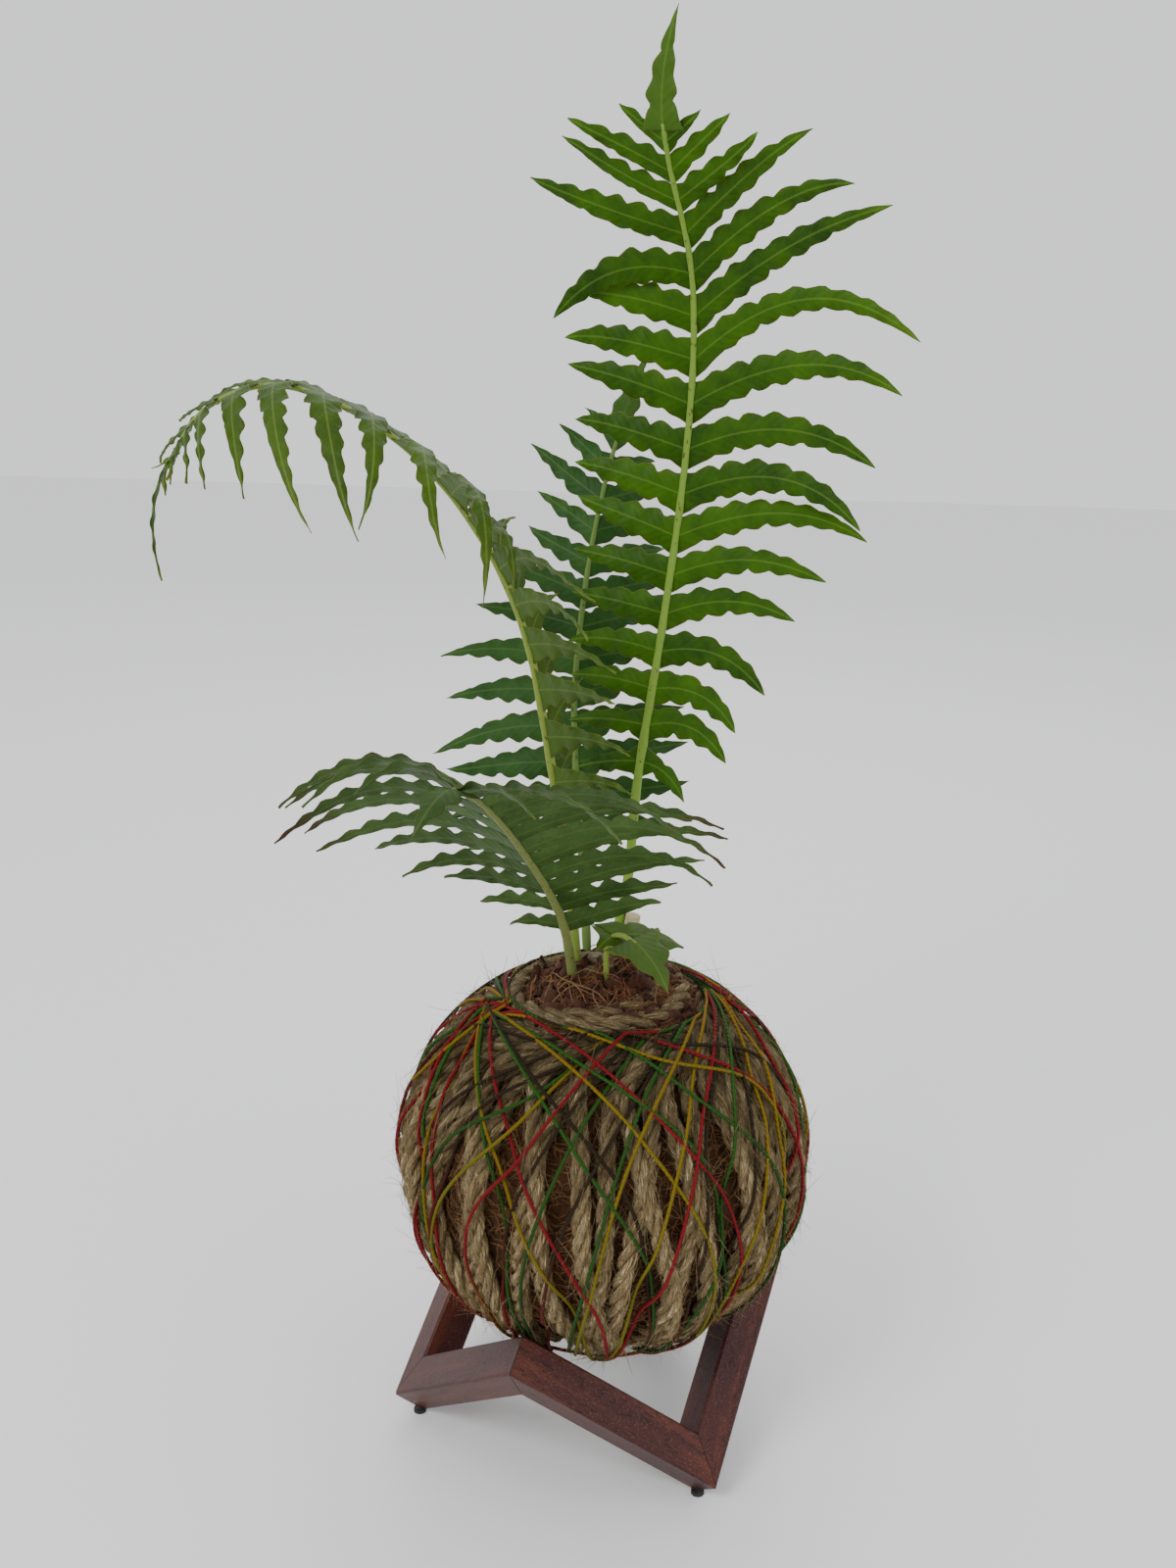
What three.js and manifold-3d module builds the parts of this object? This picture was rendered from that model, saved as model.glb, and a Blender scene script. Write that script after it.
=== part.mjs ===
// A fern growing from a coir ball that is bound with jute rope and a fine coloured thread. The ball
// rests on a folded ring of six wooden bars. Millimetres, +Z up, the front of the plant faces -Y.
import * as THREE from "three";
import { mergeVertices } from "three/addons/utils/BufferGeometryUtils.js";
import Module from "manifold-3d";

const wasm = await Module();
wasm.setup();

// Driving dimensions of the stand: its bars run along six edges of a cube that stands on one corner.
const cubeEdge = 90;
const barWidth = 14;
const barChamfer = 0.8;
const mitreGap = 0.3;
const standTurn = THREE.MathUtils.degToRad(-51.6);
const footCut = 1.5;
const padRadius = 2.4;
const padFacets = 10;

// Driving dimensions of the ball, measured over the thread.
const ballRadius = 75.5;
const ballHalfHeight = 72;
const ballCentre = new THREE.Vector3(3, -1, 108.2);
const mouthRadius = 35;
const ropeRadius = 4;
const threadRadius = 0.7;
const fitGap = 0.3;

// Driving dimensions of the plant.
const crownRadius = 14;
const crownOffset = new THREE.Vector2(-5, 2);
const crownTop = 75;
const crownDepth = 14;
const crownFacets = 10;
const stumpOffset = new THREE.Vector2(6, 8);
const stumpTopRadius = 2.6;
const stumpFootRadius = 3.2;
const stumpLength = 30;
const stumpLean = 0.12;
const stumpFacets = 8;
const bladeThickness = 0.8;
const leafletSteps = 6;
const tileTilt = THREE.MathUtils.degToRad(14);
const layerPull = 0.12;

const v = (x, y, z) => new THREE.Vector3(x, y, z);
const up = v(0, 0, 1);
const mix = THREE.MathUtils.lerp;

// Materials

const material = (colour, roughness, metalness = 0) =>
  new THREE.MeshStandardMaterial({ color: colour, roughness, metalness });

const wood = material(0x4f211b, 0.38);
const rubber = material(0x141414, 0.8);
const soil = material(0x2e2018, 0.95);
const coir = material(0x6b3e22, 0.95);
const jute = material(0xa8946c, 0.92);
const cotton = material(0x8c2f33, 0.8);
const rhizome = material(0x5b4a2a, 0.85);
const brightLeaf = material(0x3f7d1f, 0.5);
const oliveLeaf = material(0x456f2c, 0.52);
const shadedLeaf = material(0x2d5a35, 0.55);

// Solids: a closed geometry becomes a solid that can be joined or cut, and a solid becomes a geometry.

function solidOf(geometry) {
  const bare = new THREE.BufferGeometry();
  const source = geometry.index ? geometry.toNonIndexed() : geometry;
  bare.setAttribute("position", source.getAttribute("position"));
  const merged = mergeVertices(bare, 1e-4);
  return new wasm.Manifold(
    new wasm.Mesh({
      numProp: 3,
      vertProperties: merged.attributes.position.array,
      triVerts: new Uint32Array(merged.index.array),
    }),
  );
}

function geometryOf(solid) {
  const mesh = solid.getMesh();
  const geometry = new THREE.BufferGeometry();
  geometry.setAttribute("position", new THREE.BufferAttribute(mesh.vertProperties, 3));
  geometry.setIndex(new THREE.BufferAttribute(mesh.triVerts, 1));
  geometry.computeVertexNormals();
  return geometry;
}

function joined(geometries) {
  return wasm.Manifold.union(geometries.map(solidOf));
}

function named(name, geometry, look) {
  const mesh = new THREE.Mesh(geometry, look);
  mesh.name = name;
  return mesh;
}

// A skin is a growing list of points and faces. Each new ring of points is joined to the last one by
// two faces a side, and the first ring gets a cap. Sides listed as open get no faces, and those listed
// as split are cut along their other diagonal: the two faces of a thin blade are cut alike that way.
function addRing(skin, last, points, split = [], open = []) {
  const start = skin.points.length;
  const sides = points.length;
  skin.points.push(...points);
  const ring = points.map((_, i) => start + i);
  if (!last) closeRing(skin, [...ring].reverse());
  for (let i = 0; last && i < sides; i++) {
    if (open.includes(i)) continue;
    const next = (i + 1) % sides;
    const [a, b, c, d] = [last[i], last[next], ring[next], ring[i]];
    if (split.includes(i)) skin.faces.push(a, b, d, b, c, d);
    else skin.faces.push(a, b, c, a, c, d);
  }
  return ring;
}

function closeRing(skin, ring) {
  for (let i = 1; i + 1 < ring.length; i++) skin.faces.push(ring[0], ring[i], ring[i + 1]);
}

function geometryOfSkin(skin) {
  const geometry = new THREE.BufferGeometry();
  const positions = skin.points.flatMap((p) => [p.x, p.y, p.z]);
  geometry.setAttribute("position", new THREE.Float32BufferAttribute(positions, 3));
  geometry.setIndex(skin.faces);
  return geometry;
}

// A round rod along a curve.
function rod(curve, steps, sides, radius) {
  const frames = curve.computeFrenetFrames(steps, false);
  const skin = { points: [], faces: [] };
  let last = null;
  for (let j = 0; j <= steps; j++) {
    const ring = [];
    for (let i = 0; i < sides; i++) {
      const angle = (2 * Math.PI * i) / sides;
      const point = curve.getPointAt(j / steps);
      point.addScaledVector(frames.normals[j], radius * Math.cos(angle));
      ring.push(point.addScaledVector(frames.binormals[j], radius * Math.sin(angle)));
    }
    last = addRing(skin, last, ring);
  }
  closeRing(skin, last);
  return geometryOfSkin(skin);
}

// Stand

// One bar: a chamfered square section whose two ends are mitred in two different planes. In the cube's
// own frame, across is the outer direction, lift the second one, and the bar runs along the third.
// At a foot the mitre follows the lift, and at a peak it follows the across direction.
function barGeometry() {
  const c = barChamfer;
  const w = barWidth;
  const outline = [
    [c, 0], [w - c, 0], [w, c], [w, w - c], [w - c, w], [c, w], [0, w - c], [0, c],
  ];
  const shape = new THREE.Shape(outline.map(([x, y]) => new THREE.Vector2(x, y)));
  const geometry = new THREE.ExtrudeGeometry(shape, { depth: 1, bevelEnabled: false });
  const place = geometry.attributes.position;
  for (let i = 0; i < place.count; i++) {
    const across = cubeEdge - barWidth + place.getX(i);
    const lift = place.getY(i);
    const along = place.getZ(i) < 0.5 ? lift + mitreGap / 2 : across - mitreGap / 2;
    place.setXYZ(i, across, lift, along);
  }
  return geometry;
}

// The six bars in order round the ring. Each row gives the cube axis that the bar's across, lift and
// along directions lie on.
const barAxes = [
  ["front_left", 0, 2, 1],
  ["front_right", 1, 2, 0],
  ["right", 1, 0, 2],
  ["back_right", 2, 0, 1],
  ["back_left", 2, 1, 0],
  ["left", 0, 1, 2],
];

// Turns the cube's own axes so that it stands on its corner, with its body diagonal upright.
function standRotation() {
  const diagonal = new THREE.Vector3(1, 1, 1).normalize();
  const upright = new THREE.Quaternion().setFromUnitVectors(diagonal, up);
  const firstFoot = new THREE.Vector3(1, 0, 0).applyQuaternion(upright);
  const turn = standTurn - Math.atan2(firstFoot.y, firstFoot.x) - (2 * Math.PI) / 3;
  return new THREE.Quaternion().setFromAxisAngle(up, turn).multiply(upright);
}

const edgeRise = cubeEdge / Math.sqrt(3);
const footDrop = barWidth / Math.sqrt(3);

function makeStand() {
  const stand = new THREE.Group();
  const rotation = standRotation();
  const toFloor = new THREE.Vector3(0, 0, footDrop - edgeRise);
  const floorBlock = new THREE.BoxGeometry(4 * cubeEdge, 4 * cubeEdge, 40);
  floorBlock.translate(0, 0, footCut - 20);
  const below = solidOf(floorBlock);
  for (const [name, across, lift, along] of barAxes) {
    const geometry = barGeometry();
    const axes = [];
    axes[across] = new THREE.Vector3(1, 0, 0);
    axes[lift] = new THREE.Vector3(0, 1, 0);
    axes[along] = new THREE.Vector3(0, 0, 1);
    const local = new THREE.Matrix4().makeBasis(...axes).transpose();
    geometry.applyMatrix4(local);
    if (local.determinant() < 0) flipFaces(geometry);
    geometry.applyQuaternion(rotation);
    geometry.translate(toFloor.x, toFloor.y, toFloor.z);
    stand.add(named(`stand_bar_${name}`, geometryOf(solidOf(geometry).subtract(below)), wood));
  }
  const padDepth = footCut - fitGap;
  ["left", "right", "back"].forEach((name, i) => {
    const corner = new THREE.Vector3();
    corner.setComponent(i, cubeEdge - barWidth);
    corner.applyQuaternion(rotation).add(toFloor);
    const inward = new THREE.Vector2(corner.x, corner.y);
    inward.setLength(inward.length() + padRadius * 0.7);
    const pad = new THREE.CylinderGeometry(padRadius, padRadius, padDepth, padFacets);
    pad.rotateX(Math.PI / 2);
    pad.translate(inward.x, inward.y, padDepth / 2);
    stand.add(named(`foot_pad_${name}`, pad, rubber));
  });
  return stand;
}

function flipFaces(geometry) {
  const place = geometry.attributes.position.array;
  for (let i = 0; i < place.length; i += 9) {
    for (let k = 0; k < 3; k++) {
      [place[i + 3 + k], place[i + 6 + k]] = [place[i + 6 + k], place[i + 3 + k]];
    }
  }
}

// Ball: places on it are given by the angle down from the top, the angle round it and a depth below
// its outer surface.

function onBall(fromTop, round, depth) {
  const r = (ballRadius - depth) * Math.sin(fromTop);
  const z = (ballHalfHeight - depth) * Math.cos(fromTop);
  return new THREE.Vector3(r * Math.cos(round), r * Math.sin(round), z);
}

const ropeDepth = 2 * threadRadius + 0.7 + ropeRadius;
const coirDepth = ropeDepth + ropeRadius + 0.9;
const coirThickness = 8;
const mouthAngle = Math.asin(mouthRadius / (ballRadius - ropeDepth));
const underAngle = THREE.MathUtils.degToRad(151);
const facets = 22;
const underFacets = 12;
const outlineSteps = 7;

// A strand that leaves the mouth with a lean from the straight way down, crosses the side of the ball
// and ends at a given angle from the top. It follows a great circle, squashed with the ball.
function strandCurve({ round, lean, depth, start, end, steps }) {
  const across = v(-Math.sin(round), Math.cos(round), 0);
  const first = v(Math.sin(start) * Math.cos(round), Math.sin(start) * Math.sin(round), Math.cos(start));
  const heading = new THREE.Vector3().crossVectors(across, first).multiplyScalar(Math.cos(lean));
  heading.addScaledVector(across, Math.sin(lean));
  const swing = Math.hypot(first.z, heading.z);
  const arc = Math.acos(Math.cos(end) / swing) - Math.atan2(-heading.z, first.z);
  const points = [];
  for (let i = 0; i <= steps; i++) {
    const angle = (arc * i) / steps;
    const unit = first.clone().multiplyScalar(Math.cos(angle)).addScaledVector(heading, Math.sin(angle));
    points.push(onBall(Math.acos(unit.z), Math.atan2(unit.y, unit.x), depth));
  }
  return new THREE.CatmullRomCurve3(points);
}

function tube(curve, steps, radius, sides) {
  const section = new THREE.Shape();
  for (let i = 0; i < sides; i++) {
    const angle = (2 * Math.PI * i) / sides;
    const x = radius * Math.cos(angle);
    const y = radius * Math.sin(angle);
    if (i === 0) section.moveTo(x, y);
    else section.lineTo(x, y);
  }
  return new THREE.ExtrudeGeometry(section, { steps, extrudePath: curve, bevelEnabled: false });
}

function ring(fromTop, depth, radius, sides, steps) {
  const at = onBall(fromTop, 0, depth);
  const geometry = new THREE.TorusGeometry(at.x, radius, sides, steps);
  geometry.translate(0, 0, at.z);
  return geometry;
}

// The rope runs up and down between a thick ring at the mouth and one under the ball. Half of its
// strands lean one way and half the other, so that they cross in long diamonds.
const ropeLean = THREE.MathUtils.degToRad(17);
const ropeTurn = THREE.MathUtils.degToRad(9);
const ropePairs = 11;
const ropeSides = 5;
const ropeSteps = 7;
const ringSides = 6;
const collarRadius = 1.15 * ropeRadius;

function ropeSolid() {
  const pieces = [
    ring(mouthAngle, ropeDepth, collarRadius, ringSides, facets),
    ring(underAngle, ropeDepth, ropeRadius, ringSides, underFacets),
  ];
  for (let i = 0; i < ropePairs; i++) {
    for (const way of [-1, 1]) {
      const curve = strandCurve({
        round: ropeTurn + (2 * Math.PI * (i - 0.25 * way)) / ropePairs,
        lean: way * ropeLean,
        depth: ropeDepth,
        start: mouthAngle,
        end: underAngle,
        steps: ropeSteps,
      });
      pieces.push(tube(curve, ropeSteps, ropeRadius, ropeSides));
    }
  }
  return joined(pieces);
}

// The thread is hooked round the mouth at a few places and fans out from each of them. Both values are
// in degrees: where the hooks are round the ball, and how far each line leans from the way down.
const threadHooks = [4, 72, 140, 208];
const threadLeans = [-58, -22, 14, 50];
const threadStart = mouthAngle + THREE.MathUtils.degToRad(5);
const threadEnd = THREE.MathUtils.degToRad(146);
const threadSteps = 10;
const threadSides = 3;
const threadRingFacets = 20;

function threadSolid() {
  const pieces = [
    ring(threadStart, threadRadius, threadRadius, 4, facets),
    ring(threadEnd, threadRadius, threadRadius, 4, threadRingFacets),
  ];
  for (const hook of threadHooks) {
    for (const lean of threadLeans) {
      const curve = strandCurve({
        round: THREE.MathUtils.degToRad(hook + lean / 20),
        lean: THREE.MathUtils.degToRad(lean),
        depth: threadRadius,
        start: threadStart,
        end: threadEnd,
        steps: threadSteps,
      });
      pieces.push(tube(curve, threadSteps, threadRadius, threadSides));
    }
  }
  return joined(pieces);
}

// Points down the outline of the ball at a depth, from its bottom up to the lip of the coir.
function outlineAt(depth) {
  const lip = Math.asin((mouthRadius - ropeRadius - 1.2) / (ballRadius - coirDepth));
  const points = [];
  for (let i = 0; i <= outlineSteps; i++) {
    const p = onBall(mix(Math.PI, lip, i / outlineSteps), 0, depth);
    points.push(new THREE.Vector2(i === 0 ? 0 : p.x, p.z));
  }
  return points;
}

const upright = (geometry) => geometry.rotateX(Math.PI / 2);
const turned = (points, sides) => upright(new THREE.LatheGeometry(points, sides));

// The coir layer is a shell like a deep bowl, open at the mouth.
function coirWrapGeometry() {
  return turned([...outlineAt(coirDepth), ...outlineAt(coirDepth + coirThickness).reverse()], facets);
}

// The soil fills the coir up to a level face.
const soilTop = 38;

function soilSolid() {
  const points = outlineAt(coirDepth + coirThickness + fitGap);
  points.push(new THREE.Vector2(0, points.at(-1).y));
  const above = new THREE.BoxGeometry(4 * mouthRadius, 4 * mouthRadius, 40);
  above.translate(0, 0, soilTop + 20);
  return solidOf(turned(points, facets)).subtract(solidOf(above));
}

// Husk chips fill the mouth and rise round the stems: a plug with a low dome, lumped by a formula.
const plugRadius = 25.2;
const huskRadius = mouthRadius - ropeRadius - 1.6;
const huskRim = 59;
const huskTop = 71;
const huskFacets = 16;
const lumpHeight = 1.6;

function huskGeometry() {
  const outline = [
    [0, soilTop + fitGap], [plugRadius, soilTop + fitGap], [plugRadius, huskRim - 2.2],
    [huskRadius, huskRim], [0.86 * huskRadius, huskRim + 5], [0.6 * huskRadius, huskTop - 3],
    [0.32 * huskRadius, huskTop], [0, huskTop + 0.5],
  ];
  const geometry = turned(outline.map(([x, z]) => new THREE.Vector2(x, z)), huskFacets);
  const place = geometry.attributes.position;
  for (let i = 0; i < place.count; i++) {
    const lump = lumpHeight * Math.sin(0.42 * place.getX(i) + 0.3) * Math.sin(0.38 * place.getY(i) + 1.1);
    if (place.getZ(i) > huskRim + 1) place.setZ(i, place.getZ(i) + lump);
  }
  return geometry;
}

// Fern: each frond is one closed skin. A six-sided rib runs along a curve, and its two side faces open
// into leaflets. The rib ends as a leaflet of its own.

// A repeatable value between -1 and 1 for the leaflet with that number.
function vary(number, kind) {
  const wave = Math.sin(number * 12.9898 + kind * 78.233) * 43758.5453;
  return 2 * (wave - Math.floor(wave)) - 1;
}

// The value at a share u of the way along a frond, from values that hold at even steps along it.
function along(values, u) {
  const place = u * (values.length - 1);
  const i = Math.min(values.length - 2, Math.floor(place));
  const [a, b] = [values[i], values[i + 1]];
  if (typeof a === "number") return mix(a, b, place - i);
  return v(...a).lerp(v(...b), place - i);
}

// Half the width of a leaflet at one step along it: full near its foot and drawn out into a fine tip,
// with an edge that swings out and in from step to step.
function halfWidth(t, step, width) {
  const body = 0.5 * width * Math.pow(1 - t, 0.6) * (1 + 0.25 * Math.sin(Math.PI * t));
  return Math.max(0.5, body * (step % 2 ? 1.1 : 0.86));
}

// Adds the rings of one leaflet to a skin, from the opening in the rib that it grows from. The blade
// leaves at an angle to the rib, bends towards its pull and turns a little about its own length, so
// that neighbours lie like roof tiles. Every other blade is also drawn a little to the upper side.
function addLeaflet(skin, opening, { forward, side, turn, layer, angle, pull, length, width }) {
  const foot = new THREE.Vector3();
  opening.forEach((i) => foot.add(skin.points[i]));
  foot.multiplyScalar(1 / opening.length);
  const heading = forward.clone().multiplyScalar(Math.cos(angle)).addScaledVector(side, Math.sin(angle));
  const upper = new THREE.Vector3().crossVectors(side, forward).multiplyScalar(turn);
  const drawn = pull.clone().addScaledVector(upper, layer);
  const centre = foot.clone();
  let last = opening;
  for (let step = 1; step <= leafletSteps; step++) {
    const t = step / leafletSteps;
    const direction = heading.clone().addScaledVector(drawn, Math.pow(t, 1.4)).normalize();
    centre.addScaledVector(direction, length / leafletSteps);
    const across = forward.clone().addScaledVector(direction, -forward.dot(direction)).normalize();
    across.applyAxisAngle(direction, -turn * tileTilt * Math.min(1, 2 * t));
    const face = new THREE.Vector3().crossVectors(direction, across).multiplyScalar(turn);
    const half = halfWidth(t, step, width);
    const corner = (w, h) => centre.clone().addScaledVector(across, w).addScaledVector(face, h);
    const lift = bladeThickness / 2;
    const ring = [corner(-half, lift), corner(-half, -lift), corner(half, -lift), corner(half, lift)];
    last = addRing(skin, last, turn > 0 ? ring : [ring[1], ring[0], ring[3], ring[2]], [3]);
  }
  closeRing(skin, last);
}

// The order of the rib's corners is top, right up, right down, bottom, left down and left up, so that
// its second face opens to the right and its fifth to the left.
const rightFace = 1;
const leftFace = 4;
const ribSplits = [2, 5];
const footShare = 0.8;
const fullest = 0.32;
const tipSteps = 5;

// The rib's corners round a point on its curve, with its forward direction and its two sides.
function ribSection(frond, curve, place, centre, halfSpan, halfHeight) {
  const forward = curve.getTangentAt(place);
  const [left, right] = [frond.left, frond.right].map((blades) => {
    const side = along(blades.reach, place);
    return side.addScaledVector(forward, -side.dot(forward)).normalize();
  });
  const face = right.clone().sub(left).cross(forward).normalize();
  const edge = Math.min(bladeThickness / 2, 0.6 * halfHeight);
  const corner = (side, span, lift) =>
    centre.clone().addScaledVector(side, span).addScaledVector(face, lift);
  const points = [
    corner(right, 0, halfHeight), corner(right, halfSpan, edge), corner(right, halfSpan, -edge),
    corner(right, 0, -halfHeight), corner(left, halfSpan, -edge), corner(left, halfSpan, edge),
  ];
  return { forward, left, right, points };
}

// Where the rib gets a ring: a few along the bare stalk, then one at each edge of each leaflet's foot.
const bareStations = 3;

function ribStations(frond) {
  const foot = (k) => along(frond.feet, k / frond.pairs);
  const stations = Array.from({ length: bareStations }, (_, i) => (i * foot(0)) / bareStations);
  for (let i = 0; i < frond.pairs; i++) stations.push(foot(i), mix(foot(i), foot(i + 1), footShare));
  return [...stations, 1];
}

const ribCurve = (frond) =>
  new THREE.CatmullRomCurve3(frond.rib.map((p) => v(...p)), false, "centripetal");

function frondGeometry(frond) {
  const curve = ribCurve(frond);
  const skin = { points: [], faces: [] };
  let last = null;
  ribStations(frond).forEach((place, station) => {
    const radius = mix(frond.ribRadius[0], frond.ribRadius[1], place);
    const section = ribSection(frond, curve, place, curve.getPointAt(place), radius, radius);
    const pair = (station - bareStations) / 2 - 0.5;
    const leafy = Number.isInteger(pair) && pair >= 0 && pair < frond.pairs;
    const ring = addRing(skin, last, section.points, ribSplits, leafy ? [rightFace, leftFace] : []);
    for (const turn of leafy ? [-1, 1] : []) {
      const blades = turn > 0 ? frond.right : frond.left;
      const face = turn > 0 ? rightFace : leftFace;
      const u = pair / Math.max(1, frond.pairs - 1);
      const number = 2 * pair + turn + 100 * frond.seed;
      const angle = THREE.MathUtils.degToRad(along(blades.angle, u) + 1.5 * vary(number, 2));
      const footWidth = skin.points[ring[face]].distanceTo(skin.points[last[face]]);
      const length = along(blades.length, u) * (1 + 0.05 * vary(number, 1));
      addLeaflet(skin, [last[face], last[face + 1], ring[face + 1], ring[face]], {
        forward: section.forward,
        side: turn > 0 ? section.right : section.left,
        turn,
        layer: pair % 2 ? layerPull : -layerPull,
        angle,
        pull: along(blades.pull, u).multiplyScalar(1 + 0.15 * vary(number, 3)),
        length,
        width: Math.min(frond.widest, fullest * length, (0.9 * footWidth * Math.sin(angle)) / footShare),
      });
    }
    last = ring;
  });
  const direction = curve.getTangentAt(1);
  const centre = curve.getPointAt(1);
  for (let step = 1; step <= tipSteps; step++) {
    const t = step / tipSteps;
    direction.addScaledVector(v(...frond.tip.pull), 1 / tipSteps).normalize();
    centre.addScaledVector(direction, frond.tip.length / tipSteps);
    const half = halfWidth(t, step, frond.tip.width);
    const ridge = mix(0.8, 0.5, t);
    last = addRing(skin, last, ribSection(frond, curve, 1, centre, half, ridge).points, ribSplits);
  }
  closeRing(skin, last);
  return geometryOfSkin(skin);
}

// The fronds. A rib is a row of points and thins from its first radius to its second. Feet are the
// places of the leaflets along it, as shares of its length. The values of each side run from the lowest
// leaflet to the highest: the way it points, its length, its angle to the rib and its pull.
const tallFrond = {
  seed: 1,
  rib: [
    [1, 3, 168], [8.3, 12, 206], [10.6, 17, 241], [17.5, 22, 297], [22.5, 20, 350],
    [23.4, 12, 390], [20.8, 2, 416], [12, -16, 445], [9.5, -24, 455],
  ],
  ribRadius: [1.9, 0.8],
  feet: [0.26, 0.407, 0.558, 0.729, 0.888, 1],
  pairs: 17,
  widest: 12,
  left: {
    reach: [[-0.95, 0.25, 0], [-0.95, 0.25, 0], [-0.9, 0.4, 0.1]],
    length: [24, 29, 30, 31, 34, 34, 37, 38, 40, 46, 45, 42, 51, 52, 40, 35, 17],
    angle: [97, 90, 82, 81, 83, 80, 77, 78, 79, 76, 78, 74, 76, 71, 63, 62, 54],
    pull: [
      [0, 0.1, -0.4], [0, 0.1, -0.4], [0, 0.1, -0.4], [0, 0.1, -0.4], [0, 0.2, -0.2], [0, 0.2, -0.2],
      [0, 0.2, -0.2], [0, 0.2, -0.2], [0, 0.2, -0.2], [0, 0.3, -0.2], [0, 0.3, -0.3], [0, 0.3, -0.3],
      [0, 0.1, -1.7], [0, 0, 0.2], [0, 0, 0.2], [0, 0, 0], [0, 0, 0],
    ],
  },
  right: {
    reach: [[1, 0, 0], [1, -0.1, 0]],
    length: [23, 32, 34, 41, 46, 54, 66, 63, 69, 70, 84, 71, 59, 49, 34, 26, 14],
    angle: [96, 67, 74, 70, 61, 62, 61, 62, 64, 56, 47, 51, 51, 54, 62, 52, 54],
    pull: [
      [0, 0, -2.2], [0, 0, -1.7], [0, 0, -1.6], [0, 0, -1.5], [0, 0, -1.1], [0, 0, -1.1],
      [0, -0.1, -1.1], [0, -0.1, -1.3], [0, -0.1, -1.3], [0, -0.1, -1], [0, -0.1, -1.4], [0.1, 0, -0.5],
      [0.1, 0, -0.5], [0, 0.35, -0.1], [0, -0.35, 0], [0, 0, 0], [0, 0, 0],
    ],
  },
  tip: { length: 36, width: 9, pull: [0.5, -0.1, 0.3] },
};

const archingFrond = {
  seed: 2,
  rib: [
    [-7, 0, 168], [-12.4, -2, 211], [-20.5, -6, 261], [-29, -8, 300], [-42, -8, 328],
    [-62, -8, 353], [-85, -8, 369], [-110, -8, 376], [-131, -8, 368], [-144, -8, 350],
  ],
  ribRadius: [1.8, 0.7],
  feet: [0.25, 0.44, 0.585, 0.786, 0.935, 1],
  pairs: 17,
  widest: 12.5,
  left: {
    reach: [[0.85, -0.5, 0], [0.8, -0.6, 0.2], [0.4, -0.8, 0.6], [0.2, -0.9, 0.3], [0.1, -1, 0]],
    length: [34, 37, 40, 42, 46, 58, 54, 80, 70, 69, 75, 78, 47, 42, 26, 18, 14],
    angle: [76, 80, 84, 86, 82, 78, 80, 82, 88, 92, 95, 94, 91, 92, 86, 78, 58],
    pull: [
      [0.1, 0, -0.3], [0.1, 0, -0.4], [0.2, 0, -0.5], [0.2, 0, -0.7], [0.2, 0, -1], [0.2, 0, -1.4],
      [0, 0, -2], [-0.2, 0, -2.2], [-0.1, 0, -2.4], [0, 0, -2.4], [0.3, 0.1, -2.5], [0.5, 0.2, -2.6],
      [0.5, 0.2, -2.4], [0.4, 0.2, -2], [0.4, 0.2, -1.7], [0.3, 0.2, -1.5], [0.3, 0.2, -1.4],
    ],
  },
  right: {
    reach: [[0.5, 0.85, 0], [0.4, 0.9, 0], [0.1, 1, 0.2], [0, 1, 0.2]],
    length: [28, 36, 43, 44, 38, 44, 10],
    angle: [66, 60, 56, 50, 52],
    pull: [[0, 0, -0.4], [0.2, 0, -0.8], [-0.2, 0, -1.3], [-0.4, 0, -0.3], [-0.3, 0, 0]],
  },
  tip: { length: 38, width: 6, pull: [0.9, 0, -0.5] },
};

const backFrond = {
  seed: 3,
  rib: [
    [-4.5, 11, 168], [-7, 22, 203], [-10.8, 32, 236], [-12.4, 40, 270], [-9, 50, 311],
    [-4, 57, 340], [2, 62, 364],
  ],
  ribRadius: [1.7, 0.7],
  feet: [0.238, 0.444, 0.636, 0.82, 1],
  pairs: 13,
  widest: 14,
  left: {
    reach: [[-1, 0.1, 0], [-0.9, 0.3, 0]],
    length: [46, 47, 51, 53, 53, 49, 44, 35, 27, 26, 32, 24, 17],
    angle: [84, 85, 86, 84, 86, 84, 78, 74, 69, 65, 68, 66, 62],
    pull: [
      [0, 0, -0.4], [0, 0, -0.4], [0, 0, -0.4], [0, 0, -0.9], [0, 0, -0.5], [0, 0, -0.4], [0, 0, -0.3],
      [0, 0, -0.2], [0, 0.1, -0.1], [0, 0.1, 0], [0, 0, 0.2], [0, 0, 0.2], [0, 0, 0.1],
    ],
  },
  right: {
    reach: [[0.95, 0.25, 0], [0.9, 0.4, 0]],
    length: [40, 44, 44, 38, 34, 28, 14],
    angle: [84, 74, 66, 62],
    pull: [[0, 0, -0.3], [0, 0.2, -0.2], [0, 0.5, 0]],
  },
  tip: { length: 26, width: 8, pull: [0.3, 0.2, 0.2] },
};

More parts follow.
